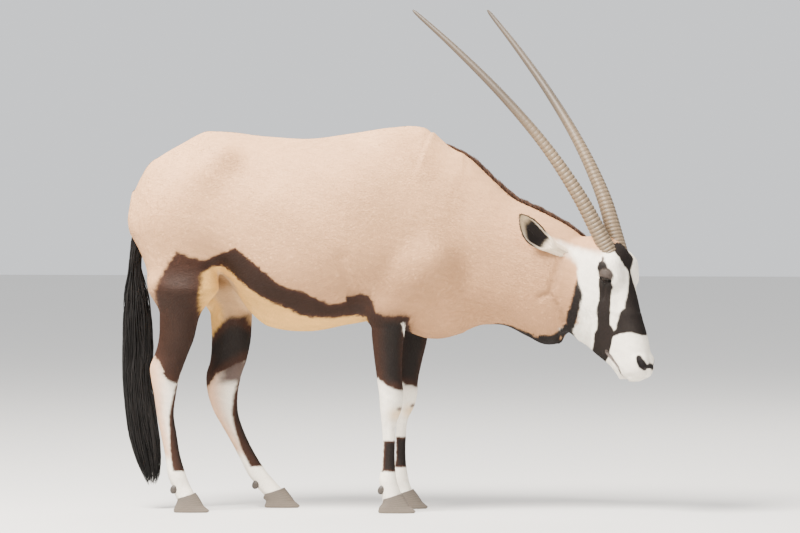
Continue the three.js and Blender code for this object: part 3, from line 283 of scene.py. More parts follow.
def facing_out(points, triangles):
    """The triangles of a closed surface, all turned if they face inward."""
    a, b, c = corners_of(points, triangles)
    inward = (a * np.cross(b, c)).sum() < 0
    return triangles[:, ::-1] if inward else triangles


TRUNK_TABLE = curve_table(TRUNK)
NECK_TABLE = curve_table(NECK)
HEAD_TABLE = curve_table(HEAD)
TAIL_TABLE = curve_table(TAIL)
LEG_TABLES = {name: curve_table(leg["outline"]) for name, leg in LEGS.items()}

# The frames of neck and head

slope, yaw, pitch = (math.radians(angle) for angle in (NECK_SLOPE, HEAD_YAW, HEAD_PITCH))
NECK_AXIS = np.array((math.cos(slope), 0, -math.sin(slope)))
NECK_RISE = np.array((math.sin(slope), 0, math.cos(slope)))
HEAD_AHEAD = np.array((math.cos(yaw), -math.sin(yaw), 0))
HEAD_OUT = np.array((-math.sin(yaw), -math.cos(yaw), 0))
HEAD_ALONG = HEAD_AHEAD * math.cos(pitch) - np.array((0, 0, 1)) * math.sin(pitch)
HEAD_UP = HEAD_AHEAD * math.sin(pitch) + np.array((0, 0, 1)) * math.cos(pitch)
HEAD_FRAME = np.array((HEAD_ALONG, HEAD_OUT, HEAD_UP))


def from_head(place):
    """Places given as (along, out, up) of the head as points."""
    return np.array(HEAD_ORIGIN) + np.asarray(place) @ HEAD_FRAME


def in_head(points):
    """Points as (along, out, up) of the head."""
    return (points - np.array(HEAD_ORIGIN)) @ HEAD_FRAME.T


def in_neck(points):
    """Points as (along, side, height) of the neck, with its bend taken out."""
    offset = points - np.array(NECK_FOOT)
    along = offset @ NECK_AXIS
    return np.stack((along, points[:, 1] + neck_bend(along), offset @ NECK_RISE), axis=1)


def neck_bend(along):
    """How far the neck's middle has swung to the right at a distance along it."""
    return NECK_BEND * smoothstep(along, 40, 620)


EYE_PLACE = np.array((EYE["along"], EYE["out"], EYE["up"]), float)
eye_low, eye_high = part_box("eye_right")
SHIFT = np.array((eye_low + eye_high) / 2) * 1000 - from_head(EYE_PLACE)


def to_frame(points):
    return (np.asarray(points) + SHIFT) / 1000


# The flesh as one field: negative inside, positive outside


def fuse_muscles(field, points, muscles):
    for start, end, radii, flat, blend in muscles:
        field = fuse(field, capsule(points, start, end, radii, flat), blend)
    return field


def trunk_field(points):
    x, y, z = points.T
    start, end, by = TRUNK_FADE
    field = belted(TRUNK_TABLE, x, y, z, TRUNK_POWER) + by * smoothstep(x, start, end)
    both = mirrored(points)
    field = fuse_muscles(field, both, PAIRED_MUSCLES)
    for side, muscles in THIGHS.items():
        on_side = (y * side) > 0
        field[on_side] = fuse_muscles(field[on_side], both[on_side], muscles)
    return fuse_muscles(field, points, [BRISKET])


def neck_field(points):
    along, side, height = in_neck(points).T
    start, end, by = NECK_FADE
    return belted(NECK_TABLE, along, side, height, NECK_POWER) + by * smoothstep(-along, start, end)


def head_mass_field(place):
    along, out, up = place.T
    return fuse_muscles(belted(HEAD_TABLE, along, out, up, HEAD_POWER), place, HEAD_MUSCLES)


def beside_leg(points, leg, margin):
    """Which points lie within a margin of the leg's length along the body."""
    outline = np.array(leg["outline"])
    low = min(leg["hoof"][0], outline[:, 1].min()) - margin
    high = max(leg["hoof"][1], outline[:, 2].max()) + margin
    return (points[:, 0] > low) & (points[:, 0] < high)


def leg_field(points, name):
    table = LEG_TABLES[name]
    x, y, z = points.T
    back, front, inner, outer = (read(table, column, z) for column in (1, 2, 3, 4))
    u = x - (back + front) / 2
    v = y * LEGS[name]["side"] - (inner + outer) / 2
    half = (front - back) / 2
    field = section(u, v, half, (outer - inner) / 2, LEG_POWER, past_ends(table, z))
    field += leg_relief(name, z, u / half)
    foot, _ = leg_middle(name, CORONET_HEIGHT)
    coronet = CORONET_HEIGHT + CORONET_SLOPE * (x - foot) - z
    return np.maximum(field, coronet)


def leg_middle(name, z):
    """The middle of a leg at a height."""
    table = LEG_TABLES[name]
    x = (read(table, 1, z) + read(table, 2, z)) / 2
    y = (read(table, 3, z) + read(table, 4, z)) / 2
    return x, y * LEGS[name]["side"]


def leg_relief(name, z, across):
    """Grooves before the tendons down the cannon, and a dent behind the fetlock."""
    knee = 345 if name.startswith("fore") else 400
    tendon = 3.2 * np.exp(-(((across + 0.28) / 0.2) ** 2)) * smoothstep(z, 95, 150)
    tendon *= 1 - smoothstep(z, knee - 90, knee - 40)
    fetlock = 2.2 * np.exp(-(((z - 78) / 14) ** 2)) * smoothstep(-across, 0.2, 0.9)
    return tendon + fetlock


# Creases pressed into the flesh: stops, half width, depth

BODY_CREASES = [
    ([(-120, 222, 790), (-92, 205, 715), (-70, 178, 655)], 22, 8),      # behind the elbow
    ([(-470, 178, 1085), (-420, 182, 1062), (-370, 195, 1035)], 50, 7),  # hollow before the hip
    ([(-560, 190, 800), (-530, 185, 770), (-505, 165, 745)], 30, 6),    # over the flank fold
    ([(100, 200, 860), (128, 190, 760), (182, 146, 672)], 38, 7),       # between neck and shoulder
]
THROAT_NOTCH = ((238, 0, -222), (238, 70, -200), (15, 13))
THROAT_CREASES = [
    ([(9, 104, -123), (54, 118, -144), (82, 125, -159), (105, 132, -177), (109, 145, -199)], 9, 9),
    ([(105, 132, -177), (122, 124, -169), (159, 112, -168), (197, 98, -170)], 9, 6),
]


# How far each part's field is worked out beyond the part itself
HEAD_FROM = 400
LEG_MARGIN = 90
LEG_CEILING = 860

# How wide the fillets are where the parts meet
NECK_BLEND = 70
HEAD_BLEND = 45
NOTCH_BLEND = 18
DOCK_BLEND = 22
SHANK_BLEND = 16
THIGH_BLEND = 70


def skin_field(points):
    """The whole animal's flesh."""
    x, y, z = points.T
    field = fuse(trunk_field(points), neck_field(points), NECK_BLEND)
    near_head = x > HEAD_FROM
    if near_head.any():
        place = mirrored(in_head(points[near_head]))
        front = fuse(field[near_head], head_mass_field(place), HEAD_BLEND)
        front = head_openings(front + head_relief(place), place)
        field[near_head] = carve(front, capsule(place, *THROAT_NOTCH), NOTCH_BLEND)
    for name, leg in LEGS.items():
        near = beside_leg(points, leg, LEG_MARGIN) & (z < LEG_CEILING) & (y * leg["side"] > -5)
        if near.any():
            height = z[near]
            top = leg["outline"][0][0]
            start, end, by = LEG_FADE
            limb = leg_field(points[near], name) + by * smoothstep(height, top + start, top + end)
            blend = SHANK_BLEND + (THIGH_BLEND - SHANK_BLEND) * smoothstep(height, 540, 700)
            field[near] = fuse(field[near], limb, blend)
    field += crease_depth(mirrored(points), BODY_CREASES)
    back_of_rump = (x < -690) & (z > 480)
    if back_of_rump.any():
        dock = dock_field(points[back_of_rump])
        field[back_of_rump] = fuse(field[back_of_rump], dock, DOCK_BLEND)
    return field


DOCK_TIP = 560
DOCK_TOP = 905
DOCK_RADII = (8, 19)


def dock_field(points):
    """The fleshy part of the tail, from the rump down."""
    x, y, z = points.T
    middle = (read(TAIL_TABLE, 1, z) + read(TAIL_TABLE, 2, z)) / 2
    thin, thick = DOCK_RADII
    radius = thin + (thick - thin) * smoothstep(z, DOCK_TIP - 40, 860)
    past = np.maximum(DOCK_TIP - z, 0) + np.maximum(z - DOCK_TOP, 0)
    return np.sqrt((x - middle) ** 2 + y**2 + past**2) - radius


# The head's openings and folds

GAZE = unit((0.1, 1, 0.16))
EYE_CORNER = np.array((0.5, 0, 0.86))
EYE_CORNER = unit(EYE_CORNER - GAZE * (EYE_CORNER @ GAZE))
EYE_LIFT = np.cross(EYE_CORNER, GAZE)
SLIT_HALF_LENGTH = 20.0
SLIT_DROP = 8.5   # the line from corner to corner lies this far under the eye's middle
SLIT_UPPER = 2.2
SLIT_LOWER = 4.2
LID = 4.0
LID_BLEND = 9
EYE_FLOOR = 1.5   # the socket's floor lies this far under the eyeball's surface


def in_eye(place):
    """Points as (along the slit to its front corner, up the lids, out of the eye)."""
    return (place - EYE_PLACE) @ np.array((EYE_CORNER, EYE_LIFT, GAZE)).T


def lid_edges(along_slit):
    """The heights of the upper and the lower lid's edge."""
    share = np.clip(1 - (along_slit / SLIT_HALF_LENGTH) ** 2, 0, None)
    return SLIT_UPPER * share**0.8 - SLIT_DROP, -SLIT_LOWER * share**0.9 - SLIT_DROP


def head_relief(place):
    """Fine folds: over the upper lid, under the lower, before the eye, along face and lips."""
    relief = np.zeros(len(place))
    eye = in_eye(place)
    in_front = np.abs(eye[:, 2] - 16) < 22
    for size, width, depth in LID_FOLDS:
        fold = (np.hypot(eye[:, 0] / 1.25, eye[:, 1]) - size) / width
        relief += depth * np.exp(-(fold**2)) * in_front * smoothstep(eye[:, 1], -24, -6)
    under = (np.hypot(eye[:, 0] / 1.3, eye[:, 1] + SLIT_DROP) - 13) / 2.2
    relief += 1.6 * np.exp(-(under**2)) * in_front * smoothstep(-eye[:, 1], 8, 14)
    return crease_depth(place, FACE_CREASES + THROAT_CREASES, relief)


# Size round the eye, width, depth
LID_FOLDS = [(22, 2.6, 2.6), (14.5, 1.6, 1.0), (27, 2.2, 1.3)]
FACE_CREASES = [
    ([(122, 66, -6), (142, 60, -22), (162, 52, -34)], 6, 3.5),          # below the tear corner
    ([(190, 50, 4), (250, 44, 0), (310, 38, 2)], 12, 2.2),              # beside the nose
    ([(232, 48, -100), (262, 42, -128), (280, 34, -146)], 13, 3.0),     # before the jaw muscle
    ([(330, 40, -36), (352, 38, -30), (372, 40, -22)], 10, 1.6),        # over the upper lip
    ([(404, 0, 26), (412, 0, 4), (414, 0, -14)], 4, 2.4),               # down the nose's middle
]
MOUTH_LINE = [(318, 42, -76), (345, 42, -64), (374, 38, -50), (398, 22, -46), (408, 0, -45)]
NOSTRIL = [(363, 36, 34), (375, 37, 36), (387, 32, 37), (397, 21, 36)]
NOSTRIL_WIDTHS = (2.2, 5.2, 6.6, 4.2)
NOSE_PAD = [(386, 0, 50), (395, 0, 44), (397, 20, 37)]
NOSE_PAD_WIDTHS = (6, 10, 6)
MOUTH_HALF_WIDTH = 2.2

# How wide the rounded edges of the openings are
SLIT_EDGE = 1.6
NOSTRIL_EDGE = 3.5
MOUTH_EDGE = 3.0


def head_openings(field, place):
    """Cuts the eye's socket and slit, the nostril and the line of the mouth."""
    eye = in_eye(place)
    radius = EYE["radius"]
    distance = np.linalg.norm(place - EYE_PLACE, axis=1)
    field = fuse(field, distance - (radius + LID), LID_BLEND)
    upper, lower = lid_edges(eye[:, 0])
    slit = np.maximum(eye[:, 1] - upper, lower - eye[:, 1]) * 0.8
    slit = np.maximum(slit, np.abs(eye[:, 0]) - SLIT_HALF_LENGTH)
    slit = np.maximum(slit, np.maximum(4 - eye[:, 2], radius - EYE_FLOOR - distance))
    field = carve(field, slit, SLIT_EDGE)
    field = carve(field, tapered_line(place, NOSTRIL, NOSTRIL_WIDTHS), NOSTRIL_EDGE)
    groove = line_distance(place, MOUTH_LINE) - MOUTH_HALF_WIDTH
    return carve(field, groove, MOUTH_EDGE)


def tapered_line(points, stops, widths):
    """How far points are outside a line through the stops, as thick as its widths."""
    best = np.full(len(points), 1e9)
    for i in range(len(stops) - 1):
        best = np.minimum(best, capsule(points, stops[i], stops[i + 1], widths[i:i + 2]))
    return best


# Meshing the field


COARSE_STEP = 4   # pitches to a block's side


def block_mesh(field, low, high, pitch, inset):
    """Quads on the field's surface, worked out only in blocks that lie near it."""
    block = pitch * COARSE_STEP
    counts = np.ceil((np.array(high) - low) / block).astype(int)
    axes = [low[i] + block * np.arange(counts[i] + 1) for i in range(3)]
    corners = np.stack(np.meshgrid(*axes, indexing="ij"), axis=-1)
    coarse = (field(corners.reshape(-1, 3)) + inset).reshape(corners.shape[:3])
    near = np.zeros(counts, bool)
    for i, j, k in np.ndindex(2, 2, 2):
        part = coarse[i:i + counts[0], j:j + counts[1], k:k + counts[2]]
        near |= np.abs(part) < block * 1.9
    values = coarse
    for axis in range(3):
        values = np.repeat(values, COARSE_STEP, axis)
    values = np.sign(values).astype(np.float32) * 50
    inner = np.arange(-1, COARSE_STEP + 1)
    offsets = np.stack(np.meshgrid(inner, inner, inner, indexing="ij"), axis=-1).reshape(-1, 3)
    index = (np.argwhere(near)[:, None] * COARSE_STEP + offsets).reshape(-1, 3)
    index = np.clip(index, 0, np.array(values.shape) - 1)
    flat = np.unique(np.ravel_multi_index(index.T, values.shape))
    points = np.stack(np.unravel_index(flat, values.shape), axis=1) * pitch + low
    values.reshape(-1)[flat] = field(points) + inset
    grid = openvdb.FloatGrid()
    grid.copyFromArray(values)
    points, quads = grid.convertToQuads(isovalue=0.0)
    return points * pitch + low, quads.astype(int)


def triangulate(points, quads):
    """Splits each quad along its shorter diagonal."""
    a, b, c, d = (quads[:, i] for i in range(4))
    first = np.linalg.norm(points[a] - points[c], axis=1)
    second = np.linalg.norm(points[b] - points[d], axis=1)
    short = (first <= second)[:, None]
    one = np.where(short, np.stack((a, b, c), 1), np.stack((a, b, d), 1))
    two = np.where(short, np.stack((a, c, d), 1), np.stack((b, c, d), 1))
    return np.concatenate((one, two))


def refine(points, triangles, target):
    """Halves the edges that are longer than the target length at their middle."""
    sides = np.stack((triangles, np.roll(triangles, -1, axis=1)), axis=-1).reshape(-1, 2)
    edges, which = np.unique(np.sort(sides, axis=1), axis=0, return_inverse=True)
    which = which.reshape(-1, 3)
    middles = points[edges].mean(axis=1)
    lengths = np.linalg.norm(points[edges[:, 0]] - points[edges[:, 1]], axis=1)
    split = lengths > target(middles)
    new_index = np.full(len(edges), -1)
    new_index[split] = len(points) + np.arange(split.sum())
    points = np.concatenate((points, middles[split]))
    cut = new_index[which]
    count = (cut >= 0).sum(axis=1)
    result = [triangles[count == 0]]

    def keep(*corners):
        result.append(np.stack(corners, 1))

    for turn in range(3):
        t = np.roll(triangles, -turn, axis=1)
        m = np.roll(cut, -turn, axis=1)
        one = (count == 1) & (m[:, 0] >= 0)
        keep(t[one, 0], m[one, 0], t[one, 2])
        keep(m[one, 0], t[one, 1], t[one, 2])
        two = (count == 2) & (m[:, 2] < 0)
        keep(t[two, 0], m[two, 0], t[two, 2])
        keep(m[two, 0], m[two, 1], t[two, 2])
        keep(m[two, 0], t[two, 1], m[two, 1])
    three = count == 3
    t, m = triangles[three], cut[three]
    keep(t[:, 0], m[:, 0], m[:, 2])
    keep(m[:, 0], t[:, 1], m[:, 1])
    keep(m[:, 2], m[:, 1], t[:, 2])
    result.append(m)
    return points, np.concatenate(result)


def gradient(field, points, step=0.8):
    """The direction in which the field grows."""
    slopes = []
    for axis in np.eye(3):
        slopes.append((field(points + axis * step) - field(points - axis * step)) / (2 * step))
    return np.stack(slopes, axis=1)


LONGEST_STEP = 4


def settle(field, points, inset, rounds):
    """Moves points onto the field's surface."""
    for _ in range(rounds):
        slopes = gradient(field, points)
        steepness = np.maximum((slopes**2).sum(axis=1), 0.05)
        step = (field(points) + inset) / steepness
        points = points - np.clip(step, -LONGEST_STEP, LONGEST_STEP)[:, None] * slopes
    return points


def relax(points, triangles, share=0.5):
    """Moves each point part of the way to the middle of its neighbours."""
    total = np.zeros_like(points)
    count = np.zeros(len(points))
    for i in range(3):
        a, b = triangles[:, i], triangles[:, (i + 1) % 3]
        for p, q in ((a, b), (b, a)):
            for axis in range(3):
                total[:, axis] += np.bincount(p, points[q, axis], len(points))
            count += np.bincount(p, minlength=len(points))
    return points + share * (total / np.maximum(count, 1)[:, None] - points)


# How long the skin's edges may be
BODY_EDGE = 14.0
PLAIN_EDGE = 30.0
MARKING_EDGE = 5.0
FACE_EDGE = 4.6
FINEST_EDGE = 2.3


def edge_target(points):
    """How long a skin edge may be: shortest on eyes, nostrils and mouth."""
    place = mirrored(in_head(points))
    target = np.full(len(points), BODY_EDGE)
    depth = head_mass_field(place)
    on_face = (points[:, 0] > 520) & (depth < 12)
    target[on_face] = FACE_EDGE
    near_eye = np.linalg.norm(place - EYE_PLACE, axis=1) < 42
    near_nose = line_distance(place, NOSTRIL) < 16
    near_mouth = line_distance(place, MOUTH_LINE) < 9
    target[on_face & (near_eye | near_nose | near_mouth)] = FINEST_EDGE
    return target


def drop_loose(points, triangles):
    """Keeps only the largest connected surface."""
    label = np.arange(len(points))
    while True:
        lowest = label[triangles].min(axis=1)
        new = label.copy()
        for i in range(3):
            np.minimum.at(new, triangles[:, i], lowest)
        new = new[new]
        if (new == label).all():
            break
        label = new
    names, counts = np.unique(label, return_counts=True)
    keep = label == names[counts.argmax()]
    renumber = np.cumsum(keep) - 1
    return points[keep], renumber[triangles[keep[triangles[:, 0]]]]


def skin_surface():
    low = np.array(SPACE_LOW, float)
    high = np.array(SPACE_HIGH, float)
    points, quads = block_mesh(skin_field, low, high, BODY_PITCH, COAT_DEPTH)
    triangles = facing_out(points, triangulate(points, quads))
    points, triangles = drop_loose(points, triangles)
    points = settle(skin_field, points, COAT_DEPTH, rounds=1)
    for target in (edge_target, edge_target, edge_target, marking_target, marking_target):
        settled = len(points)
        points, triangles = refine(points, triangles, target)
        points[settled:] = settle(skin_field, points[settled:], COAT_DEPTH, rounds=2)
    points = relax(points, triangles)
    points = settle(skin_field, points, COAT_DEPTH, rounds=2)
    return points, triangles


def marking_target(points):
    """Shorter edges where the coat's colours meet."""
    target = np.full(len(points), PLAIN_EDGE)
    plain = points[:, 0] < 520
    spots = points[plain]
    change = np.zeros(len(spots))
    middle = coat_colours(spots, rough_edges=False).sum(axis=1)
    for axis in np.eye(3):
        side = coat_colours(spots + axis * 5, rough_edges=False).sum(axis=1)
        change = np.maximum(change, np.abs(side - middle))
    target[plain] = np.where(change > 0.12, MARKING_EDGE, PLAIN_EDGE)
    return target


# Colours of the coat

TAN = (0.66, 0.375, 0.195)
# painted shade: the tan darkened on the lower body and the chest, where shade falls
TAN_PAINTED_SHADE = (0.50, 0.27, 0.135)
NECK_GREY = (0.62, 0.35, 0.185)
DARK = (0.010, 0.0062, 0.0048)
DARK_BROWN = (0.026, 0.0105, 0.0058)
STRIPE_BROWN = (0.046, 0.0165, 0.0085)
WHITE = (0.96, 0.89, 0.77)
CREAM = (0.78, 0.44, 0.125)
MANE_BROWN = (0.11, 0.056, 0.036)
INNER_THIGH = (0.58, 0.36, 0.18)
KNEE_TINT = (0.86, 0.66, 0.42)
HOCK_TAN = (0.70, 0.43, 0.27)
SMUDGE_GREY = (0.11, 0.075, 0.065)
LIP_GREY = (0.12, 0.095, 0.085)
NOSE_BLACK = (0.012, 0.009, 0.009)
LID_BROWN = (0.050, 0.038, 0.032)
LID_SHADE = (0.011, 0.008, 0.0066)
BROW_BROWN = (0.060, 0.040, 0.032)

# The dark stripe along the flank, as (x, z) of its upper and its lower edge
FLANK_UPPER = [
    (-664, 814), (-565, 776), (-519, 799), (-488, 808), (-457, 818), (-442, 809), (-411, 784),
    (-380, 759), (-349, 729), (-318, 707), (-288, 695), (-257, 689), (-226, 674), (-195, 658),
    (-164, 646), (-133, 650), (-102, 660), (-72, 680), (-47, 671), (-35, 653),
]
FLANK_LOWER = [
    (-664, 720), (-600, 735), (-561, 746), (-536, 759), (-508, 765), (-490, 756), (-468, 734),
    (-443, 713), (-412, 691), (-381, 670), (-351, 654), (-320, 642), (-289, 627), (-258, 611),
    (-227, 604), (-165, 602), (-135, 605), (-104, 607), (-60, 609), (-35, 609),
]
# The dark of the thigh: x of its rear and front edge by height
THIGH_REAR_EDGE = [
    (472, -702), (487, -713), (534, -712), (595, -708), (642, -708), (689, -710), (720, -694),
    (770, -664), (813, -634),
]
THIGH_FRONT_EDGE = [
    (520, -500), (570, -560), (628, -576), (675, -574), (706, -568), (736, -566), (800, -560),
]
# Where the hind leg's dark begins and ends: share across the leg to its front, height
HIND_INNER_TOP = [(-1, 515), (-0.8, 545), (-0.45, 570), (0, 594), (1, 600)]
HIND_OUTER_END = [(-1, 490), (-0.49, 472), (-0.19, 448), (0.11, 417), (0.64, 404), (1, 398)]
HIND_INNER_END = [(-1, 375), (-0.71, 386), (-0.39, 418), (0.25, 443), (0.88, 462)]
# Where the foreleg's dark begins at the top, as (x, z)
FORELEG_TOP = [(-60, 672), (-43, 668), (-34, 642), (-26, 617), (2, 608), (59, 610), (90, 600)]
# The rear edge of the hind cannon's patch: z, and share across the leg
HIND_PATCH_BACK = [(128, -0.25), (190, -0.15), (250, 0.2), (330, 0.6), (400, 0.85)]
# The white spot at the front of the upper foreleg, as a line from one end to the other
FORELEG_SPOT = ((50, 128, 590), (60, 108, 556))
# The dark under the neck: distance along it, height it reaches
THROAT_BAND = [(290, -4), (350, 6), (420, 15), (480, 20), (540, 18), (590, 16), (620, 0)]
# The dark along the spine: x, half width
SPINE_DARK = [(-780, 24), (-735, 20), (-690, 6), (-300, 3), (60, 5)]

# The marks of the face, as (along, out, up) on its right side; out below zero reaches over
# the middle
FOREHEAD_BLACK = [
    (-4, -10, 30), (-2, 30, 20), (14, 32, 26), (39, 34, 38), (60, 32, 44), (78, 20, 47),
    (90, 9, 48), (100, 6, 48), (116, 8, 47), (138, 15, 44), (166, 25, 38), (186, 32, 32),
    (205, 38, 26), (213, 44, 11), (236, 48, -3), (259, 50, -18), (268, 51, -34), (280, 50, -40),
    (278, 48, -7), (280, 43, 12), (283, 36, 28), (292, 26, 41), (299, 12, 50), (300, -10, 52),
]
EYE_BLACK = [
    (99, 69, -25), (131, 65, -37), (159, 63, -50), (183, 62, -66), (212, 60, -75),
    (229, 58, -80), (245, 56, -89), (254, 54, -107), (274, 47, -120), (290, 35, -142),
    (298, 10, -152), (300, -10, -152), (346, -10, -108), (344, 24, -98), (335, 43, -74),
    (324, 46, -67), (305, 49, -51), (285, 50, -39), (274, 50, -30), (262, 50, -27),
    (241, 53, -34), (200, 55, -18), (159, 56, -3), (135, 56, 13), (109, 70, 19), (100, 70, 14),
]
BROW_BLACK = [
    (50, 66, -14), (46, 68, 0), (52, 70, 14), (66, 73, 21), (90, 74, 22), (90, 72, -20),
    (66, 69, -20),
]
BROW_SPOT = [(34, 62, 2), (42, 64, -3), (52, 68, 1), (50, 68, 8), (38, 62, 8)]
JAW_BLACK = [
    (70, 86, -90), (104, 85, -101), (130, 84, -106), (164, 86, -127), (189, 86, -144),
    (208, 84, -158), (226, 80, -180), (238, 90, -228), (226, 112, -264), (206, 122, -300),
]
JAW_BLACK_WIDTHS = (2, 9, 16, 16, 17, 16, 18, 18, 14, 10)
CHIN_BLACK = [(230, 84, -182), (224, 50, -200), (220, 0, -206)]
CHIN_BLACK_WIDTHS = (18, 26, 28)
CREASE_PAINTED_SHADE = 0.4   # how much painted shade darkens the coat at the bottom of the throat's folds
EAR_BAND = [(-55, 112, -138), (-30, 96, -108), (0, 82, -80), (40, 76, -50)]
EAR_BAND_WIDTHS = (8, 16, 22, 30)
WHITE_REAR = [
    (10, 0, 45), (16, 46, 10), (22, 62, -6), (12, 76, -30), (4, 86, -60), (28, 96, -92),
    (70, 86, -97), (112, 88, -106), (146, 82, -110), (189, 82, -136), (212, 78, -152),
    (218, 64, -174), (214, 30, -190), (212, 0, -196),
]


def ripples(points, size, seed=0):
    """Smooth noise between about -1 and 1, its bumps about `size` apart."""
    random = np.random.default_rng(seed)
    total = np.zeros(len(points))
    for _ in range(7):
        direction = unit(random.normal(size=3)) * 2 * math.pi / size * random.uniform(0.6, 1.5)
        total += np.sin(points @ direction + random.uniform(0, 2 * math.pi))
    return total / 3.2


def inside_by(u, v, corners):
    """How far inside a polygon each point lies; below zero outside it."""
    corners = np.array(corners, float)
    nearest = np.full(len(u), 1e9)
    inside = np.zeros(len(u), bool)
    for (au, av), (bu, bv) in zip(corners, np.roll(corners, -1, axis=0)):
        du, dv = bu - au, bv - av
        t = np.clip(((u - au) * du + (v - av) * dv) / (du * du + dv * dv), 0, 1)
        nearest = np.minimum(nearest, np.hypot(u - au - t * du, v - av - t * dv))
        crossed = ((av > v) != (bv > v)) & (u < au + (v - av) * du / (dv if dv else 1e-9))
        inside ^= crossed
    return np.where(inside, nearest, -nearest)


def line_at(stops, at):
    stops = np.array(sorted(stops), float)
    return np.interp(at, stops[:, 0], stops[:, 1])


def paint(colours, colour, depth, soft):
    """Lays a colour over others where `depth` is above zero."""
    return mix(colours, np.array(colour), smoothstep(depth, -soft, soft)[:, None])


HEAD_CORE = 45   # the line that the head's marks are measured round lies this far down


def around_head(place):
    """Points of the head as (along, angle round it in degrees): 90 on the nose, -90 below."""
    return place[:, 0], np.degrees(np.arctan2(place[:, 2] + HEAD_CORE, place[:, 1]))


def head_outline_marks(corners):
    return np.stack(around_head(np.array(corners, float)), axis=1)


def coat_colours(points, rough_edges=True):
    """The coat's colour at each point of the body, neck, legs and head."""
    spots = points.astype(float)
    if rough_edges:
        fine = np.stack([ripples(points, 22, seed) for seed in (1, 2, 3)], axis=1)
        finer = np.stack([ripples(points, 7, seed) for seed in (4, 5, 6)], axis=1)
        calm = np.maximum(smoothstep(points[:, 0], 540, 620), smoothstep(-points[:, 2], -420, -340))
        spots = spots + (2.2 * fine + 1.0 * finer) * (1 - 0.65 * calm[:, None])
    colours = trunk_colours(spots)
    for name in LEGS:
        colours = leg_colours(colours, spots, name)
    forward = spots[:, 0] > 470
    if forward.any():
        colours[forward] = head_colours(colours[forward], spots[forward])
    if rough_edges:
        shade = 1 + 0.05 * ripples(points, 190, 8) + 0.04 * ripples(points, 31, 9)
        colours = colours * shade[:, None]
    return np.clip(colours, 0, 1)


# Where the trunk's markings begin or end along it, and how low the spine's dark line reaches
STRIPE_END = -36
BELLY_SPAN = (-640, -30)
SPINE_START = 60
SPINE_LOWEST = 930
DOCK_START = -752
THROAT_START = 290


def trunk_colours(spots):
    """Tan, with painted shade low on the body and towards the chest, and a dark stripe along the
    flank, the spine and the throat.
    """
    x, y, z = spots.T
    colours = np.tile(np.array(TAN), (len(spots), 1))
    upper, lower = line_at(FLANK_UPPER, x), line_at(FLANK_LOWER, x)
    belly = least(lower - z, x - BELLY_SPAN[0], BELLY_SPAN[1] - x)
    stripe = least(upper - z, z - lower, x - line_at(THIGH_REAR_EDGE, z), STRIPE_END - x)
    along, side, height = in_neck(spots).T
    over_throat = height - read(NECK_TABLE, 2, along)
    throat = least(line_at(THROAT_BAND, along) - over_throat, along - THROAT_START)
    over_crest = height - read(NECK_TABLE, 1, along)
    crest = least(8 - np.abs(side), along + 20, over_crest + 40)
    spine = least(line_at(SPINE_DARK, x) - np.abs(y), z - SPINE_LOWEST, SPINE_START - x)
    dock = least(DOCK_START - x, 34 - np.abs(y))
    # The second layer is painted shade: darker tan below about 760 high, reaching higher towards
    # the chest.
    for colour, depth, soft in (
        (NECK_GREY, x - 330, 160), (TAN_PAINTED_SHADE, 760 - z + 0.2 * x, 220), (CREAM, belly, 5),
        (STRIPE_BROWN, stripe + 1, 4), (DARK_BROWN, stripe - 8, 9), (DARK, throat, 4),
        (MANE_BROWN, crest, 5), (DARK, spine, 4), (DARK, dock, 5),
    ):
        colours = paint(colours, colour, depth, soft)
    return colours


# The back of the hoof on the foreleg, and the steps ahead of the hind leg, that the lines
# above are given for
FORE_HOOF_BACK = -22
HIND_STEPS = {"hindleg_right": 0, "hindleg_left": 120}

# Heights on the legs: where the foreleg's dark ends, with its rise to the front and to both
# sides, where the cannon's patch begins and ends, and where the white ends
FORE_DARK_END = (390, -22, 12)
PATCH_BOTTOM = 128
PATCH_TOPS = {"fore": 224, "hind": 400}
WHITE_TOPS = {"fore": 480, "hind": 530}

# Spots on the knee: height, and share across the leg to its front
KNEE_LIGHT = (306, 0.75)
KNEE_SMUDGE = (322, 0.8)


def leg_place(spots, name):
    """How points lie to a leg: -1 to 1 across it and out from it, and which belong to it."""
    x, y, z = spots.T
    side = y * LEGS[name]["side"]
    back, front, inner, outer = (read(LEG_TABLES[name], column, z) for column in (1, 2, 3, 4))
    across = (x - (back + front) / 2) / ((front - back) / 2)
    outward = (side - (inner + outer) / 2) / ((outer - inner) / 2)
    here = (side > 5) & (np.abs(across) < 2.2)
    return SimpleNamespace(
        x=x, z=z, side=side, inner=inner, across=across, outward=outward, here=here,
        inside=1 - smoothstep(outward, -0.15, 0.3),
    )


def foreleg_dark(at, shift):
    """How deep points lie in the dark of the upper foreleg."""
    height, to_front, to_sides = FORE_DARK_END
    top = line_at(FORELEG_TOP, at.x - shift) - at.z
    bottom = at.z - (height + to_front * at.across + to_sides * np.abs(at.across))
    front = (1.1 - at.across) * 60
    rear = (at.across + 1.15 + 2 * smoothstep(at.z, 640, 660)) * 60
    inner = at.side - smoothstep(at.z, 575, 625) * (at.inner - 4)
    return least(top, bottom, front, rear, inner)


def hindleg_dark(at, level):
    """How deep points lie in the dark of the thigh and the leg below it."""
    outer_end = line_at(HIND_OUTER_END, at.across)
    inner_end = line_at(HIND_INNER_END, at.across)
    bottom = at.z - mix(outer_end, inner_end, at.inside)
    upper = line_at(FLANK_UPPER, np.clip(level, -700, -565)) - at.z
    inner_top = line_at(HIND_INNER_TOP, at.across) - at.z + 500 * (1 - at.inside)
    rear = level - line_at(THIGH_REAR_EDGE, at.z)
    front = line_at(THIGH_FRONT_EDGE, at.z) - level
    return least(bottom, upper, inner_top, rear, front)


def dark_layers(at, dark, edge, shaded):
    """Brown at the dark's edge, then darker, then black in its depth."""
    return [
        (STRIPE_BROWN, dark + 2, edge), (DARK_BROWN, least(dark - 6, 760 - at.z), 40),
        (DARK, shaded, 20),
    ]


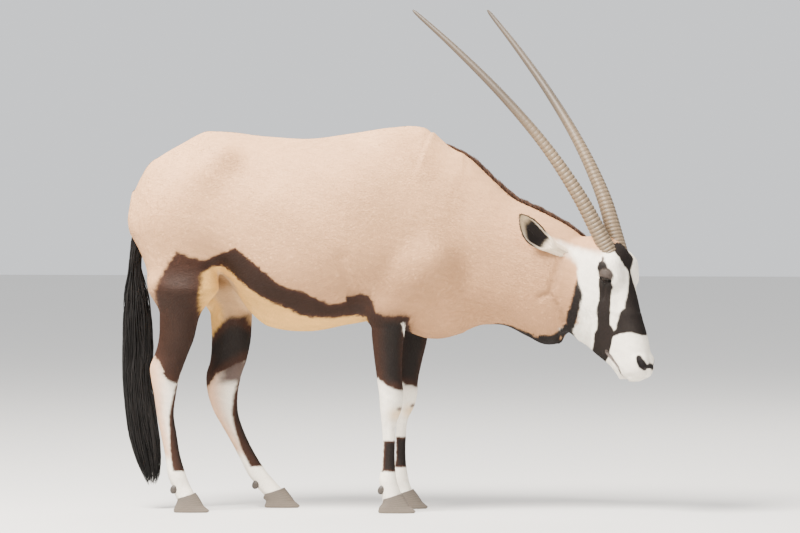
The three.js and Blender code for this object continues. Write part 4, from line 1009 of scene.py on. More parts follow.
def patch_layers(at, back, top, half):
    """The dark patch down the front of the cannon."""
    ahead = (at.across - back) * 22
    patch = least(ahead, at.z - PATCH_BOTTOM, top - at.z, half - np.abs(at.outward) * 9)
    return [(STRIPE_BROWN, patch, 3), (DARK, patch - 6, 5)]


def foreleg_layers(at, spots, shift):
    """The colours of a foreleg in the order they are laid: colour, depth, softness."""
    dark = foreleg_dark(at, shift)
    spot = points_beside(spots, shift, FORELEG_SPOT)
    knee, smudge = (
        np.hypot(at.z - height, (at.across - share) * 26)
        for height, share in (KNEE_LIGHT, KNEE_SMUDGE)
    )
    return [
        (WHITE, WHITE_TOPS["fore"] - at.z, 12),
        *dark_layers(at, dark, 4, least(dark - 16, (at.across + 0.3) * 40)),
        (WHITE, 8 - spot, 3),
        *patch_layers(at, -0.75, PATCH_TOPS["fore"], 20),
        (KNEE_TINT, 18 - knee, 18), (SMUDGE_GREY, 5 - smudge, 5),
    ]


def hindleg_layers(at, shift):
    """The colours of a hind leg in the order they are laid: colour, depth, softness."""
    level = at.x - shift * smoothstep(800 - at.z, 0, 200)
    dark = hindleg_dark(at, level)
    flank = least(745 - at.z, at.z - 500, level + 640, -460 - level)
    inner_thigh = least(flank, (at.inside - 0.6) * 60)
    hock = least(at.z - 170, 500 - at.z, (-0.1 - at.across) * 30)
    smudge = least(at.z - 385, 470 - at.z, (at.across + 0.3) * 40, (at.inside - 0.5) * 40)
    return [
        (CREAM, flank, 8), (INNER_THIGH, inner_thigh, 14),
        (WHITE, WHITE_TOPS["hind"] - at.z, 12),
        (HOCK_TAN, hock, 22), (SMUDGE_GREY, smudge - 6, 16),
        *dark_layers(at, dark, np.where(at.z > 500, 11, 4), least(dark - 30, at.inside * 60 - 20)),
        *patch_layers(at, line_at(HIND_PATCH_BACK, at.z), PATCH_TOPS["hind"], 12),
    ]


def leg_colours(colours, spots, name):
    """The dark upper leg, the white below it and the dark patch down the cannon's front."""
    at = leg_place(spots, name)
    if name.startswith("fore"):
        layers = foreleg_layers(at, spots, LEGS[name]["hoof"][0] - FORE_HOOF_BACK)
    else:
        layers = hindleg_layers(at, HIND_STEPS[name])
        at.here = at.here & ((at.x < -380) | (at.z < 400))
    limit = np.where(at.here, 1.0, -1.0) * 1e3
    for colour, depth, soft in layers:
        colours = paint(colours, colour, least(depth, limit), soft)
    return colours


def points_beside(spots, shift, stops):
    """How far points of either side are from a line given for the right side."""
    both = mirrored(spots)
    both[:, 0] -= shift
    return line_distance(both, stops)


def white_depth(place, near):
    """How deep points lie in the white of the face."""
    along, angle = around_head(place)
    rear = head_outline_marks(WHITE_REAR)
    order = np.argsort(rear[:, 1])
    return least(along - np.interp(angle, rear[order, 1], rear[order, 0]), near)


def head_colours(colours, spots):
    """The white face and its black patches, then the lips, the nose and the lids."""
    place = mirrored(in_head(spots))
    along, angle = around_head(place)
    radius = np.hypot(place[:, 1], place[:, 2] + HEAD_CORE)
    near = least(spots[:, 0] - 500, 168 + 12 * smoothstep(along, 185, 215) - radius)
    softness = 4 + 16 * smoothstep(-along, -100, -50)
    colours = paint(colours, WHITE, white_depth(place, near), softness)
    # Painted shade: the coat darkened along the throat's creases, where shadow lies in the folds.
    for stops, width, _ in THROAT_CREASES:
        fold = crease_depth(place, [(stops, width, 1)])[:, None]
        colours = colours * (1 - CREASE_PAINTED_SHADE * fold)
    colours = paint(colours, WHITE, -tapered_line(place, EAR_BAND, EAR_BAND_WIDTHS), 13)
    jaw = -tapered_line(place, JAW_BLACK, JAW_BLACK_WIDTHS)
    jaw = np.maximum(jaw, -tapered_line(place, CHIN_BLACK, CHIN_BLACK_WIDTHS))
    colours = paint(colours, DARK, jaw, 3)
    for corners, colour, limit in (
        (FOREHEAD_BLACK, DARK, 120), (EYE_BLACK, DARK, 150),
        (BROW_BLACK, LID_SHADE, 120), (BROW_SPOT, BROW_BROWN, 120),
    ):
        mark = inside_by(along, angle, head_outline_marks(corners))
        colours = paint(colours, colour, least(mark, near, limit - radius), 2.2)
    colours = paint(colours, LIP_GREY, 6.5 - line_distance(place, MOUTH_LINE), 2)
    nose = 7 - tapered_line(place, NOSTRIL, NOSTRIL_WIDTHS)
    pad = -tapered_line(place, NOSE_PAD, NOSE_PAD_WIDTHS)
    colours = paint(colours, NOSE_BLACK, np.maximum(nose, pad), 2.5)
    return lid_colours(colours, in_eye(place))


def lid_colours(colours, eye):
    """Brown lids, dark below the eye, with a black rim round the slit."""
    in_front = eye[:, 2] + 6
    over = 24 - np.hypot(eye[:, 0] / 1.05, eye[:, 1] - 5)
    colours = paint(colours, LID_BROWN, least(over, in_front), 3)
    under = 15 - np.hypot(eye[:, 0] / 1.5, eye[:, 1] + 17)
    colours = paint(colours, LID_SHADE, least(under, in_front), 4)
    upper, lower = lid_edges(eye[:, 0])
    rim = np.maximum(np.maximum(eye[:, 1] - upper, lower - eye[:, 1]), np.abs(eye[:, 0]) - 20)
    return paint(colours, DARK, least(3.4 - rim, in_front), 1.2)


# The lie and length of the hair


DOWN = np.array((0.0, 0, -1))


def nearness(field, reach):
    """1 on a part's surface and less the further a point is outside it."""
    return np.exp(-np.clip(field, -10, 200) / reach)[:, None]


def hair_lie(points):
    """Which way the hair lies: back along the body, down the legs, up the face to the poll."""
    x, y, z = points.T
    on_head = nearness(head_mass_field(mirrored(in_head(points))), 16) * (x > 480)[:, None]
    low = smoothstep(-z, -690, -560)[:, None]
    droop = 0.5 * smoothstep(np.abs(y), 30, 170)
    trunk = np.stack((-np.ones(len(x)), 0.12 * np.sign(y), -droop), axis=1)
    neck = -NECK_AXIS + np.outer(droop, DOWN)
    face = -HEAD_ALONG + 0.15 * HEAD_UP
    lie = trunk * nearness(trunk_field(points), 22) + neck * nearness(neck_field(points), 22)
    return unit_rows(mix(unit_rows(lie + face * on_head * 3), DOWN, low))


def hair_length(points):
    """How long the fur is: shorter down the legs and to the muzzle."""
    x, _, z = points.T
    body = 10.5 - 4 * smoothstep(-z, -620, -380)
    face = 9 - 4 * smoothstep(in_head(points)[:, 0], 60, 330)
    return mix(body, face, smoothstep(x, 540, 640))


# Charts of the skin, as if peeled off part by part

CHARTS = {  # the rectangle of each part, and the stretch along it that it covers
    "trunk": ((0.01, 0.02, 0.98, 0.37), (-900, 260)),
    "neck": ((0.01, 0.42, 0.56, 0.64), (-120, 720)),
    "head": ((0.01, 0.69, 0.56, 0.98), (-160, 440)),
    "foreleg_right": ((0.62, 0.42, 0.69, 0.78), (20, 860)),
    "foreleg_left": ((0.72, 0.42, 0.79, 0.78), (20, 860)),
    "hindleg_right": ((0.82, 0.42, 0.89, 0.78), (20, 860)),
    "hindleg_left": ((0.92, 0.42, 0.98, 0.78), (20, 860)),
    "ear_right": ((0.62, 0.83, 0.76, 0.98), (0, 1)),
    "ear_left": ((0.80, 0.83, 0.94, 0.98), (0, 1)),
}
CHART_NAMES = list(CHARTS)


ON_NECK, ON_HEAD, FIRST_LEG = 1, 2, 3   # the numbers of the charts


def chart_of(points):
    """The number of the part that each point belongs to."""
    x, y, z = points.T
    part = np.where(x > 170, ON_NECK, 0)
    place = mirrored(in_head(points))
    part[(x > 520) & (head_mass_field(place) < 14)] = ON_HEAD
    for number, (name, leg) in enumerate(LEGS.items(), start=FIRST_LEG):
        limit = 620 if name.startswith("fore") else 700
        near = beside_leg(points, leg, 40) & (z < limit)
        part[near & (y * leg["side"] > 0) & (np.abs(y) > 30)] = number
    return part


def unrolled(points, part, middle=None):
    """Each point as (angle round its part, distance along it)."""
    x, y, z = points.T
    angle = np.arctan2(y, z - 850)
    along = x.copy()
    for number, places, core in ((ON_NECK, in_neck(points), 0), (ON_HEAD, in_head(points), 50)):
        here = part == number
        angle[here] = np.arctan2(places[here, 1], places[here, 2] + core)
        along[here] = places[here, 0]
    for number, name in enumerate(LEGS, start=FIRST_LEG):
        here = part == number
        centre_x, centre_y = leg_middle(name, z[here])
        angle[here] = np.arctan2(y[here] - centre_y, centre_x - x[here])
        along[here] = z[here]
    if middle is not None:
        angle += 2 * math.pi * np.round((middle - angle) / (2 * math.pi))
    return angle, along


def chart_place(angle, along, part):
    """Places on the unwrap."""
    rectangles = np.array([CHARTS[name][0] for name in CHART_NAMES])[part]
    spans = np.array([CHARTS[name][1] for name in CHART_NAMES], float)[part]
    u = rectangles[:, 0] + (angle / (2 * math.pi) + 0.5) * (rectangles[:, 2] - rectangles[:, 0])
    share = (along - spans[:, 0]) / (spans[:, 1] - spans[:, 0])
    v = rectangles[:, 1] + share * (rectangles[:, 3] - rectangles[:, 1])
    return np.stack((u, v), axis=1)


def skin_unwrap(points, triangles):
    """The place on the unwrap of each corner of each triangle."""
    centres = points[triangles].mean(axis=1)
    part = chart_of(centres)
    middle, _ = unrolled(centres, part)
    corners = points[triangles].reshape(-1, 3)
    corner_part = np.repeat(part, 3)
    angle, along = unrolled(corners, corner_part, np.repeat(middle, 3))
    return chart_place(angle, along, corner_part)


# Building meshes


def mesh_object(name, points, faces, material):
    """A mesh from design points and faces that all have the same number of corners."""
    mesh = bpy.data.meshes.new(name)
    faces = np.asarray(faces, np.int32)
    sides = faces.shape[1]
    mesh.vertices.add(len(points))
    mesh.vertices.foreach_set("co", to_frame(points).astype(np.float32).ravel())
    mesh.loops.add(faces.size)
    mesh.loops.foreach_set("vertex_index", faces.ravel())
    mesh.polygons.add(len(faces))
    mesh.polygons.foreach_set("loop_start", np.arange(0, faces.size, sides, dtype=np.int32))
    mesh.update(calc_edges=True)
    mesh.polygons.foreach_set("use_smooth", np.ones(len(faces), bool))
    mesh.materials.append(material)
    obj = bpy.data.objects.new(name, mesh)
    bpy.context.scene.collection.objects.link(obj)
    return obj


def add_colours(obj, colours):
    attribute = obj.data.attributes.new("tint", "FLOAT_COLOR", "POINT")
    four = np.ones((len(colours), 4), np.float32)
    four[:, :3] = colours
    attribute.data.foreach_set("color", four.ravel())


def add_unwrap(obj, places):
    """Sets the unwrap's place of every corner of every face."""
    layer = obj.data.uv_layers.new(name="OFBake")
    layer.uv.foreach_set("vector", np.asarray(places, np.float32).ravel())


def add_normals(obj, normals):
    obj.data.normals_split_custom_set_from_vertices(unit_rows(normals).astype(np.float32))


def point_normals(points, triangles):
    a, b, c = corners_of(points, triangles)
    face = np.cross(b - a, c - a)
    normals = np.zeros_like(points)
    for i in range(3):
        for axis in range(3):
            normals[:, axis] += np.bincount(triangles[:, i], face[:, axis], len(points))
    return unit_rows(normals)


def loft(rings):
    """Points and triangles of rings joined in order, each end closed to a point at its middle."""
    rings = np.asarray(rings, float)
    count, sides = rings.shape[:2]
    k = np.arange(sides)
    following = (k + 1) % sides
    faces = []
    for i in range(count - 1):
        low, high = i * sides, (i + 1) * sides
        faces.append(np.stack((low + k, low + following, high + following), 1))
        faces.append(np.stack((low + k, high + following, high + k), 1))
    start, end = count * sides, count * sides + 1
    last = (count - 1) * sides
    faces.append(np.stack((following, k, np.full(sides, start)), 1))
    faces.append(np.stack((last + k, last + following, np.full(sides, end)), 1))
    points = np.vstack((rings.reshape(-1, 3), rings[0].mean(axis=0), rings[-1].mean(axis=0)))
    return points, facing_out(points, np.concatenate(faces))


def ring_object(name, rings, colours, end_colours, material):
    """A closed piece of rings, with colours for each ring and for the middles of its ends."""
    points, triangles = loft(rings)
    piece = mesh_object(name, points, triangles, material)
    add_colours(piece, np.concatenate(colours + [np.array(end_colours)]))
    return piece


def round_angles(sides, first=0.0):
    """Evenly spaced angles once round."""
    return (np.arange(sides) + first) / sides * 2 * math.pi


def merge(parts):
    """Several sets of points and faces as one."""
    points, faces, base = [], [], 0
    for part_points, part_faces in parts:
        points.append(part_points)
        faces.append(part_faces + base)
        base += len(part_points)
    return np.concatenate(points), np.concatenate(faces)


def scatter(points, triangles, spacing, random):
    """Places on a surface about `spacing` apart: triangle numbers and shares of its corners."""
    a, b, c = corners_of(points, triangles)
    area = np.linalg.norm(np.cross(b - a, c - a), axis=1) / 2
    gap = spacing(points[triangles].mean(axis=1))
    wanted = np.cumsum(area / gap**2)
    steps = np.arange(int(wanted[-1])) + random.uniform(0, 1, int(wanted[-1]))
    chosen = np.minimum(np.searchsorted(wanted, steps), len(triangles) - 1)
    r = np.sqrt(random.uniform(0, 1, len(chosen)))
    s = random.uniform(0, 1, len(chosen))
    return chosen, np.stack((1 - r, r * (1 - s), r * s), axis=1)


def at_shares(values, corners, shares):
    """Values at places inside triangles, from the values at their corners."""
    return (values[corners] * shares[..., None]).sum(axis=1)


TUFT_FACES = np.array(((0, 2, 1), (1, 2, 3), (3, 2, 0), (0, 1, 3)))
TUFT_PATCH = np.array(((-0.0015, -0.0015), (0.0015, -0.0015), (0, 0), (0, 0.0015)))
TUFTS_PER_PIECE = 48000
TUFT_SINK = 1.2   # how far a tuft's root lies under the skin


def build_tufts(roots, normals, lie, length, width, rise):
    """Thin closed slivers that lie along the skin: two root corners, a back and a tip."""
    lie = unit_rows(lie - normals * (lie * normals).sum(axis=1, keepdims=True))
    across = np.cross(normals, lie)
    length, width, rise = (np.broadcast_to(v, len(roots))[:, None] for v in (length, width, rise))
    start = roots - normals * TUFT_SINK - lie * length * 0.1
    corners = np.stack((
        start - across * width / 2, start + across * width / 2,
        roots + lie * length * 0.35 + normals * rise * 0.8, roots + lie * length + normals * rise,
    ), axis=1)
    shading = np.stack((
        normals - across * 0.3, normals + across * 0.3, normals, normals + lie * 0.15,
    ), axis=1)
    base = np.arange(len(roots))[:, None, None] * 4
    faces = (base + TUFT_FACES).reshape(-1, 3)
    return corners.reshape(-1, 3), faces, shading.reshape(-1, 3)


def tuft_objects(name, tufts, colours, places, material):
    """The tufts as pieces of limited size, with their colours and their unwrap."""
    corners, faces, shading = tufts
    count = len(corners) // 4
    pieces = []
    total = max(1, math.ceil(count / TUFTS_PER_PIECE))
    for number in range(total):
        first, last = (count * number) // total, (count * (number + 1)) // total
        part = slice(first * 4, last * 4)
        title = name if total == 1 else f"{name}_{number + 1}"
        piece_faces = faces[first * 4:last * 4] - first * 4
        obj = mesh_object(title, corners[part], piece_faces, material)
        add_colours(obj, np.repeat(colours[first:last], 4, axis=0))
        patch = places[first:last, None, None] + TUFT_PATCH[TUFT_FACES][None]
        add_unwrap(obj, patch.reshape(-1, 2))
        add_normals(obj, shading[part])
        pieces.append(obj)
    return pieces


# Ears

EAR_LENGTH = 222
EAR_THICKNESS = 4.6
EAR_SAG = 20
EAR_GROOVE = {"half_width": 0.34, "floor": 0.72}
EAR_TABLE = curve_table([
    (0, 20), (0.3, 20), (0.43, 27), (0.57, 34), (0.72, 33), (0.86, 23), (0.95, 11), (1, 2),
])
EAR_POSES = {  # root in the head's frame, reach and opening in the body's
    "ear_right": ((-7, 73, -114), (-144, -105, 122), (0.1, -1, 0.05)),
    "ear_left": ((-9, -61, -96), (-150, 150, 74), (0.3, 0.9, 0.1)),
}
EAR_ROOT_DEPTH = 14
EAR_STOPS = 84
EAR_HALF_SIDES = 18
EAR_ROUNDNESS = 0.8   # its depth against its width
EAR_WHITE = (0.86, 0.72, 0.54)
EAR_CREAM = (0.56, 0.43, 0.27)


def ear_sides():
    """The places round an ear's ring, as (share across it, whether inside the hollow)."""
    shares = [k / EAR_HALF_SIDES for k in range(-EAR_HALF_SIDES, EAR_HALF_SIDES + 1)]
    return [(share, False) for share in shares] + [(share, True) for share in shares[::-1]]


EAR_SIDES = ear_sides()


def ear_axes(name):
    """An ear's root, the way to its tip, the way it opens and the way across it."""
    root_place, reach_to, opening = EAR_POSES[name]
    axis = unit(reach_to)
    face = np.array(opening, float)
    face = unit(face - axis * (face @ axis))
    return from_head(root_place) - axis * 6, axis, face, np.cross(axis, face)


def ear_ring(t, middle, face, across):
    """One ring of the shell: over the ear's back, then through its hollow."""
    width = np.interp(t, EAR_TABLE[:, 0], EAR_TABLE[:, 1]) - 1
    wrap = math.radians(158 - 82 * float(smoothstep(t, 0.2, 0.52)))
    radius = width / math.sin(min(wrap, math.pi / 2))
    inner_radius = max(radius - EAR_THICKNESS * (1 - 0.6 * t), 0.3)
    sink = float(smoothstep(t, 0.3, 0.45))
    groove, floor = EAR_GROOVE["half_width"], EAR_GROOVE["floor"]
    ring = []
    for share, inside in EAR_SIDES:
        angle = wrap * share
        if inside:
            fold = 1.3 * math.cos(share * 9) * math.sin(math.pi * t) * (1 - share**2)
            side = inner_radius * (math.sin(angle) * sink + groove * share * (1 - sink))
            depth = math.cos(angle) * EAR_ROUNDNESS * sink - floor * (1 - sink)
            depth = inner_radius * depth + fold
        else:
            side = radius * math.sin(angle)
            depth = radius * math.cos(angle) * EAR_ROUNDNESS
        ring.append(middle + across * side - face * depth)
    return ring


def ear_shell(name):
    """A cupped ear: points, triangles, colours, hair lie, and the unwrap of each point."""
    root, axis, face, across = ear_axes(name)
    lower = math.copysign(1, across[2])
    sag = -across * lower * EAR_SAG
    rings, colours, places = [], [], []
    for i in range(EAR_STOPS + 1):
        t = (i / EAR_STOPS) ** 0.9
        bow = math.sin(math.pi * t)
        reach = EAR_LENGTH * t - EAR_ROOT_DEPTH * (1 - t)
        rings.append(ear_ring(t, root + axis * reach - face * 8 * bow + sag * bow, face, across))
        for share, inside in EAR_SIDES:
            colours.append(ear_colour(t, share * lower, inside))
            turn = share * math.pi * 0.48 + (math.pi * 0.5 if inside else -math.pi * 0.5)
            places.append((turn, t))
    points, triangles = loft(rings)
    colours += [ear_colour(0, 0, False), ear_colour(1, 0, False)]
    places += [(0, 0), (0, 1)]
    return points, triangles, np.array(colours), axis, np.array(places)


def ear_colour(t, share, inside):
    """White with a thin dark rim; inside, black in the hollow and cream towards the tip."""
    rim = float(smoothstep(abs(share), 0.84, 0.95)) * float(smoothstep(t, 0.4, 0.55))
    dark = max(rim * 0.97, float(smoothstep(t, 0.93, 0.98)) * 0.95)
    colour = np.array(EAR_WHITE)
    if inside:
        cream = float(smoothstep(t, 0.62, 0.8))
        colour = mix(colour, np.array(EAR_CREAM), cream)
        depth = t - 0.1 * share + 0.1 * abs(share)
        hollow = float(smoothstep(t, 0.38, 0.43)) * (1 - float(smoothstep(depth, 0.72, 0.86)))
        hollow *= 1 - float(smoothstep(abs(share), 0.66, 0.82))
        dark = max(dark, hollow)
    else:
        colour = mix(colour, np.array(TAN), 0.15)
    return mix(colour, np.array(DARK), dark)


# Horns

HORN_RADII = curve_table([
    (0, 26), (0.12, 24), (0.36, 18), (0.55, 15), (0.75, 12), (0.92, 8.6), (0.98, 6.6), (1, 3.5),
])
HORN_ROOT_DEPTH = 30
HORN_ROOT_STEP = 1.8
HORN_STOPS = 620
HORN_SIDES = 40
HORN_WIDTHS = (0.96, 1.04)   # across and along the head, against a round horn
HORN_RINGED_PART = 0.56
HORN_RINGS = 40
HORN_BASE_COLOUR = (0.150, 0.105, 0.062)
# painted shade in the grooves between the rings
HORN_GROOVE_PAINTED_SHADE = (0.018, 0.013, 0.009)
HORN_UPPER = (0.070, 0.052, 0.036)
HORN_TIP = (0.060, 0.045, 0.032)


def path_lengths(line):
    """How far along a line each of its points is."""
    steps = np.linalg.norm(np.diff(line, axis=0), axis=1)
    return np.concatenate(((0,), np.cumsum(steps)))


def horn_line(side):
    """Closely spaced points of a horn's centre line with their distance along it."""
    rows = np.array(HORN_LINE, float)
    stops = np.array(HEAD_ORIGIN) - np.outer(rows[:, 0], HEAD_AHEAD)
    stops += np.outer(rows[:, 1], (0, 0, 1)) + np.outer(rows[:, 2] * side, HEAD_OUT)
    table = curve_table(np.column_stack((path_lengths(stops), stops)), HORN_STOPS)
    line = table[:, 1:]
    return line, path_lengths(line)


def ring_swell(t, angle, random_phase):
    """How far a ring stands out, and how deep in a groove a point is."""
    ringed = 1 - smoothstep(t, HORN_RINGED_PART * 0.45, HORN_RINGED_PART)
    turn = HORN_RINGS * (np.clip(t + 0.04, 0, None) / HORN_RINGED_PART) ** 0.89
    wave = (turn + 0.16 * np.sin(angle + random_phase) + 0.09 * np.sin(3 * angle)) % 1
    crest = np.sin(math.pi * wave) ** 0.8
    swell = (crest - 0.62) * 2.7 * ringed * (1 - 0.5 * np.clip(t / HORN_RINGED_PART, 0, 1))
    groove = ringed * smoothstep(1 - crest, 0.45, 1)
    return swell, groove


def build_horn(name, side, material):
    line, distance = horn_line(side)
    length = distance[-1]
    tangents = unit_rows(np.gradient(line, axis=0))
    angle = round_angles(HORN_SIDES)
    stops = []
    for depth in np.arange(HORN_ROOT_DEPTH, 1, -HORN_ROOT_STEP):
        stops.append((line[0] - tangents[0] * depth, tangents[0], -depth / length))
    stops += [(line[i], tangents[i], distance[i] / length) for i in range(len(line) - 2)]
    rings, colours = [], []
    wide, deep = HORN_WIDTHS
    for centre, tangent, t in stops:
        across = unit(HEAD_OUT - tangent * (HEAD_OUT @ tangent))
        up = np.cross(tangent, across)
        swell, groove = ring_swell(np.full(HORN_SIDES, t), angle, side)
        radius = np.interp(t, HORN_RADII[:, 0], HORN_RADII[:, 1]) - 1 + swell
        radius = radius + 0.25 * np.sin(angle * 17 + 3 * side) * (1 - t)
        radius = np.maximum(radius, 0.4)
        ring = centre + np.outer(radius * np.cos(angle) * wide, across)
        ring += np.outer(radius * np.sin(angle) * deep, up)
        rings.append(ring)
        colours.append(horn_colour(t, angle, groove))
    return ring_object(name, rings, colours, (HORN_BASE_COLOUR, HORN_TIP), material)


def horn_colour(t, angle, groove):
    """Brown at the base and darker above, with painted shade in the grooves and faint streaks."""
    upper = smoothstep(np.full((len(angle), 1), t), 0.3, 0.6)
    tip = smoothstep(np.full((len(angle), 1), t), 0.86, 0.99)
    colour = mix(np.array(HORN_BASE_COLOUR), np.array(HORN_UPPER), upper)
    colour = mix(colour, np.array(HORN_TIP), tip)
    streak = 1 + 0.10 * np.sin(angle * 9 + 14 * t)[:, None]
    # the grooves are darkened by painted shade, the deeper the darker
    return mix(colour, np.array(HORN_GROOVE_PAINTED_SHADE), groove[:, None] * 0.8) * streak


# Hooves

HOOF_COLOUR = (0.13, 0.105, 0.082)
HOOF_DARK = (0.05, 0.040, 0.033)
CLAW_SIDES = 56
CLAW_RINGS = 44
GROWTH_LINES = 46   # radians of growth lines from the sole to the coronet
DEWCLAW_SIDES = 28
DEWCLAW_RINGS = 30
DEWCLAW_SIZES = (11.5, 8.6, 15)   # half sizes along the body, across and up
DEWCLAW_TILT = 28
DEWCLAW_INSET = 8
DEWCLAW_ASIDE = 14


def claw_levels(leg, back, front):
    """A claw's outline by height: share, back, toe, how far it bulges outward, height."""
    hoof_back, toe = leg["hoof"]
    return curve_table([
        (0, hoof_back + 4, toe - 3, 1.06, 0), (0.06, hoof_back, toe, 1.1, 4),
        (0.45, hoof_back + 4, toe - 18, 1.08, 20), (1, back + 3, front - 2, 0.97, CORONET_HEIGHT),
        (1.3, back + 7, front - 9, 0.86, CORONET_HEIGHT + 11),
    ], CLAW_RINGS)


def build_claw(name, inward, material):
    """One claw: a pointed wedge on a flat sole, with growth lines round its wall."""
    leg = LEGS[name]
    foot_x, foot_y = leg_middle(name, CORONET_HEIGHT)
    back, front, inner, outer = (
        read(LEG_TABLES[name], column, CORONET_HEIGHT) for column in (1, 2, 3, 4)
    )
    outward = leg["side"] * (-1 if inward else 1)
    width = (outer - inner) / 2 - CLEFT / 2
    middle_y = foot_y + outward * (CLEFT / 2 + width / 2)
    angle = round_angles(CLAW_SIDES, 0.5)
    ahead = np.cos(angle)
    narrow = 1 - 0.55 * np.maximum(ahead, 0) ** 2
    rings, colours = [], []
    for share, level_back, level_toe, spread, z in claw_levels(leg, back, front):
        growth = 0.35 * math.sin(share * GROWTH_LINES) * float(smoothstep(share, 0.05, 0.15))
        half = (level_toe - level_back) / 2 + growth
        x = (level_back + level_toe) / 2 + half * np.sign(ahead) * np.abs(ahead) ** 0.8
        swell = np.where(outward * np.sin(angle) > 0, spread, 1)
        y = middle_y + (width / 2 + growth * 0.5) * np.sin(angle) * narrow * swell
        sloped = np.clip((z - 20) / (CORONET_HEIGHT - 20), 0, 1)
        height = z + CORONET_SLOPE * (x - foot_x) * sloped
        rings.append(np.stack((x, y, np.maximum(height, 0)), axis=1))
        shade = 1 + 0.14 * math.sin(share * GROWTH_LINES + 1)
        colour = mix(np.array(HOOF_COLOUR), np.array(HOOF_DARK), share * 0.4)
        colours.append(np.tile(colour * shade, (CLAW_SIDES, 1)))
    title = f"{name}_claw_{'inner' if inward else 'outer'}_horn"
    return ring_object(title, rings, colours, (HOOF_DARK, HOOF_DARK), material)


def build_dewclaw(name, inward, material):
    """A small blunt claw at the back of the fetlock, ridged round."""
    outward = LEGS[name]["side"] * (-1 if inward else 1)
    back = read(LEG_TABLES[name], 1, DEWCLAW_HEIGHT)
    _, middle_y = leg_middle(name, DEWCLAW_HEIGHT)
    centre = (back + DEWCLAW_INSET, middle_y + outward * DEWCLAW_ASIDE, DEWCLAW_HEIGHT)
    cosine, sine = math.cos(math.radians(DEWCLAW_TILT)), math.sin(math.radians(DEWCLAW_TILT))
    lean = np.array(((cosine, 0, sine), (0, 1, 0), (-sine, 0, cosine)))
    half_long, half_wide, half_tall = DEWCLAW_SIZES
    angle = round_angles(DEWCLAW_SIDES)
    rings, colours = [], []
    for latitude in np.linspace(-85, 85, DEWCLAW_RINGS):
        ridge = math.sin(latitude * 0.4)
        ring_size = math.cos(math.radians(latitude)) * (1 + 0.03 * ridge)
        height = half_tall * math.sin(math.radians(latitude))
        ring = np.stack((
            half_long * ring_size * np.cos(angle), half_wide * ring_size * np.sin(angle),
            np.full(DEWCLAW_SIDES, height),
        ), axis=1)
        rings.append(ring @ lean.T + np.array(centre))
        colours.append(np.tile(np.array(HOOF_DARK) * (1 + 0.15 * ridge), (DEWCLAW_SIDES, 1)))
    title = f"{name}_dewclaw_{'inner' if inward else 'outer'}_horn"
    return ring_object(title, rings, colours, (HOOF_DARK, HOOF_DARK), material)


# Eyes

EYE_SIDES = 64
EYE_RINGS = 70
IRIS_RADII = (12, 13.5)   # where the brown begins to end, and where it has ended
PUPIL_HALF = (8.5, 4.2)
SHADED_EYE_WHITE = (0.010, 0.0075, 0.006)   # painted shade: the white of the eye all but black, as it looks in the lids' shade
IRIS_BROWN = (0.014, 0.007, 0.004)
PUPIL_BLACK = (0.002, 0.002, 0.0025)
EYE_ENDS = ((0.004, 0.004, 0.005), (0.1, 0.08, 0.07))   # the middles of front and back


def eye_colours(polar, u, v, angle):
    """The colours of a ring of the eyeball, from the pupil out."""
    front = polar < 90
    pupil = 1 - smoothstep(np.hypot(u / PUPIL_HALF[0], v / PUPIL_HALF[1]), 0.85, 1.1)
    iris = 1 - smoothstep(np.hypot(u, v), *IRIS_RADII)
    brown = np.array(IRIS_BROWN) * (1 + 0.25 * np.sin(angle * 23))[:, None]
    # the white of the eye is painted dark, as painted shade under the lids
    colour = mix(np.array(SHADED_EYE_WHITE), brown, (iris * front)[:, None])
    return mix(colour, np.array(PUPIL_BLACK), (pupil * front)[:, None])


def build_eye(name, side, material):
    """An eyeball with its cornea, its brown iris and its long level pupil."""
    rings, colours = [], []
    angle = round_angles(EYE_SIDES)
    flip = np.array((1, side, 1))
    corner, lift, gaze = EYE_CORNER * flip, EYE_LIFT * flip, GAZE * flip
    for polar in np.linspace(1, 179, EYE_RINGS):
        tilt = math.radians(polar)
        cornea = 1.6 * max(math.cos(tilt) - 0.80, 0) / 0.2
        radius = EYE["radius"] - 0.6 + cornea
        u = radius * math.sin(tilt) * np.cos(angle)
        v = radius * math.sin(tilt) * np.sin(angle)
        ring = EYE_PLACE * flip + np.outer(u, corner) + np.outer(v, lift)
        rings.append(from_head(ring + radius * math.cos(tilt) * gaze))
        colours.append(eye_colours(polar, u, v, angle))
    return ring_object(name, rings, colours, EYE_ENDS, material)


# Long hair


def strands(paths, widths, thickness, broad):
    """Tapered closed strands along paths, each as wide as its width in the `broad` direction.

    `thickness` is their share of the width the other way.
    """
    paths = np.asarray(paths, float)
    count, stops = paths.shape[:2]
    along = unit_rows(np.gradient(paths, axis=1).reshape(-1, 3)).reshape(paths.shape)
    broad = np.repeat(np.asarray(broad, float)[:, None], stops, axis=1)
    broad = broad - along * (broad * along).sum(axis=2, keepdims=True)
    broad = unit_rows(broad.reshape(-1, 3)).reshape(paths.shape)
    flat = np.cross(along, broad)
    t = np.linspace(0, 1, stops)
    taper = np.minimum(1, 0.55 + 2.2 * t) * (1 - t**2.2) ** 0.8 + 0.03
    half = np.asarray(widths, float)[:, None, None] / 2 * taper[None, :, None]
    thin = half * thickness
    rim = np.stack((
        paths - broad * half, paths + flat * thin, paths + broad * half, paths - flat * thin,
    ), axis=2)
    tips = paths[:, -1:] + along[:, -1:] * half[:, -1:]
    points = np.concatenate((rim.reshape(count, -1, 3), tips), axis=1)
    faces = []
    for i in range(0, (stops - 1) * 4, 4):
        for k in range(4):
            a, b = i + k, i + (k + 1) % 4
            faces += [(a, b, b + 4), (a, b + 4, a + 4)]
    last = (stops - 1) * 4
    faces += [(last + k, last + (k + 1) % 4, stops * 4) for k in range(4)]
    faces += [(2, 1, 0), (3, 2, 0)]
    faces = np.array(faces)[:, ::-1]
    base = np.arange(count)[:, None, None] * points.shape[1]
    return points.reshape(-1, 3), (base + faces).reshape(-1, 3), points.shape[1]


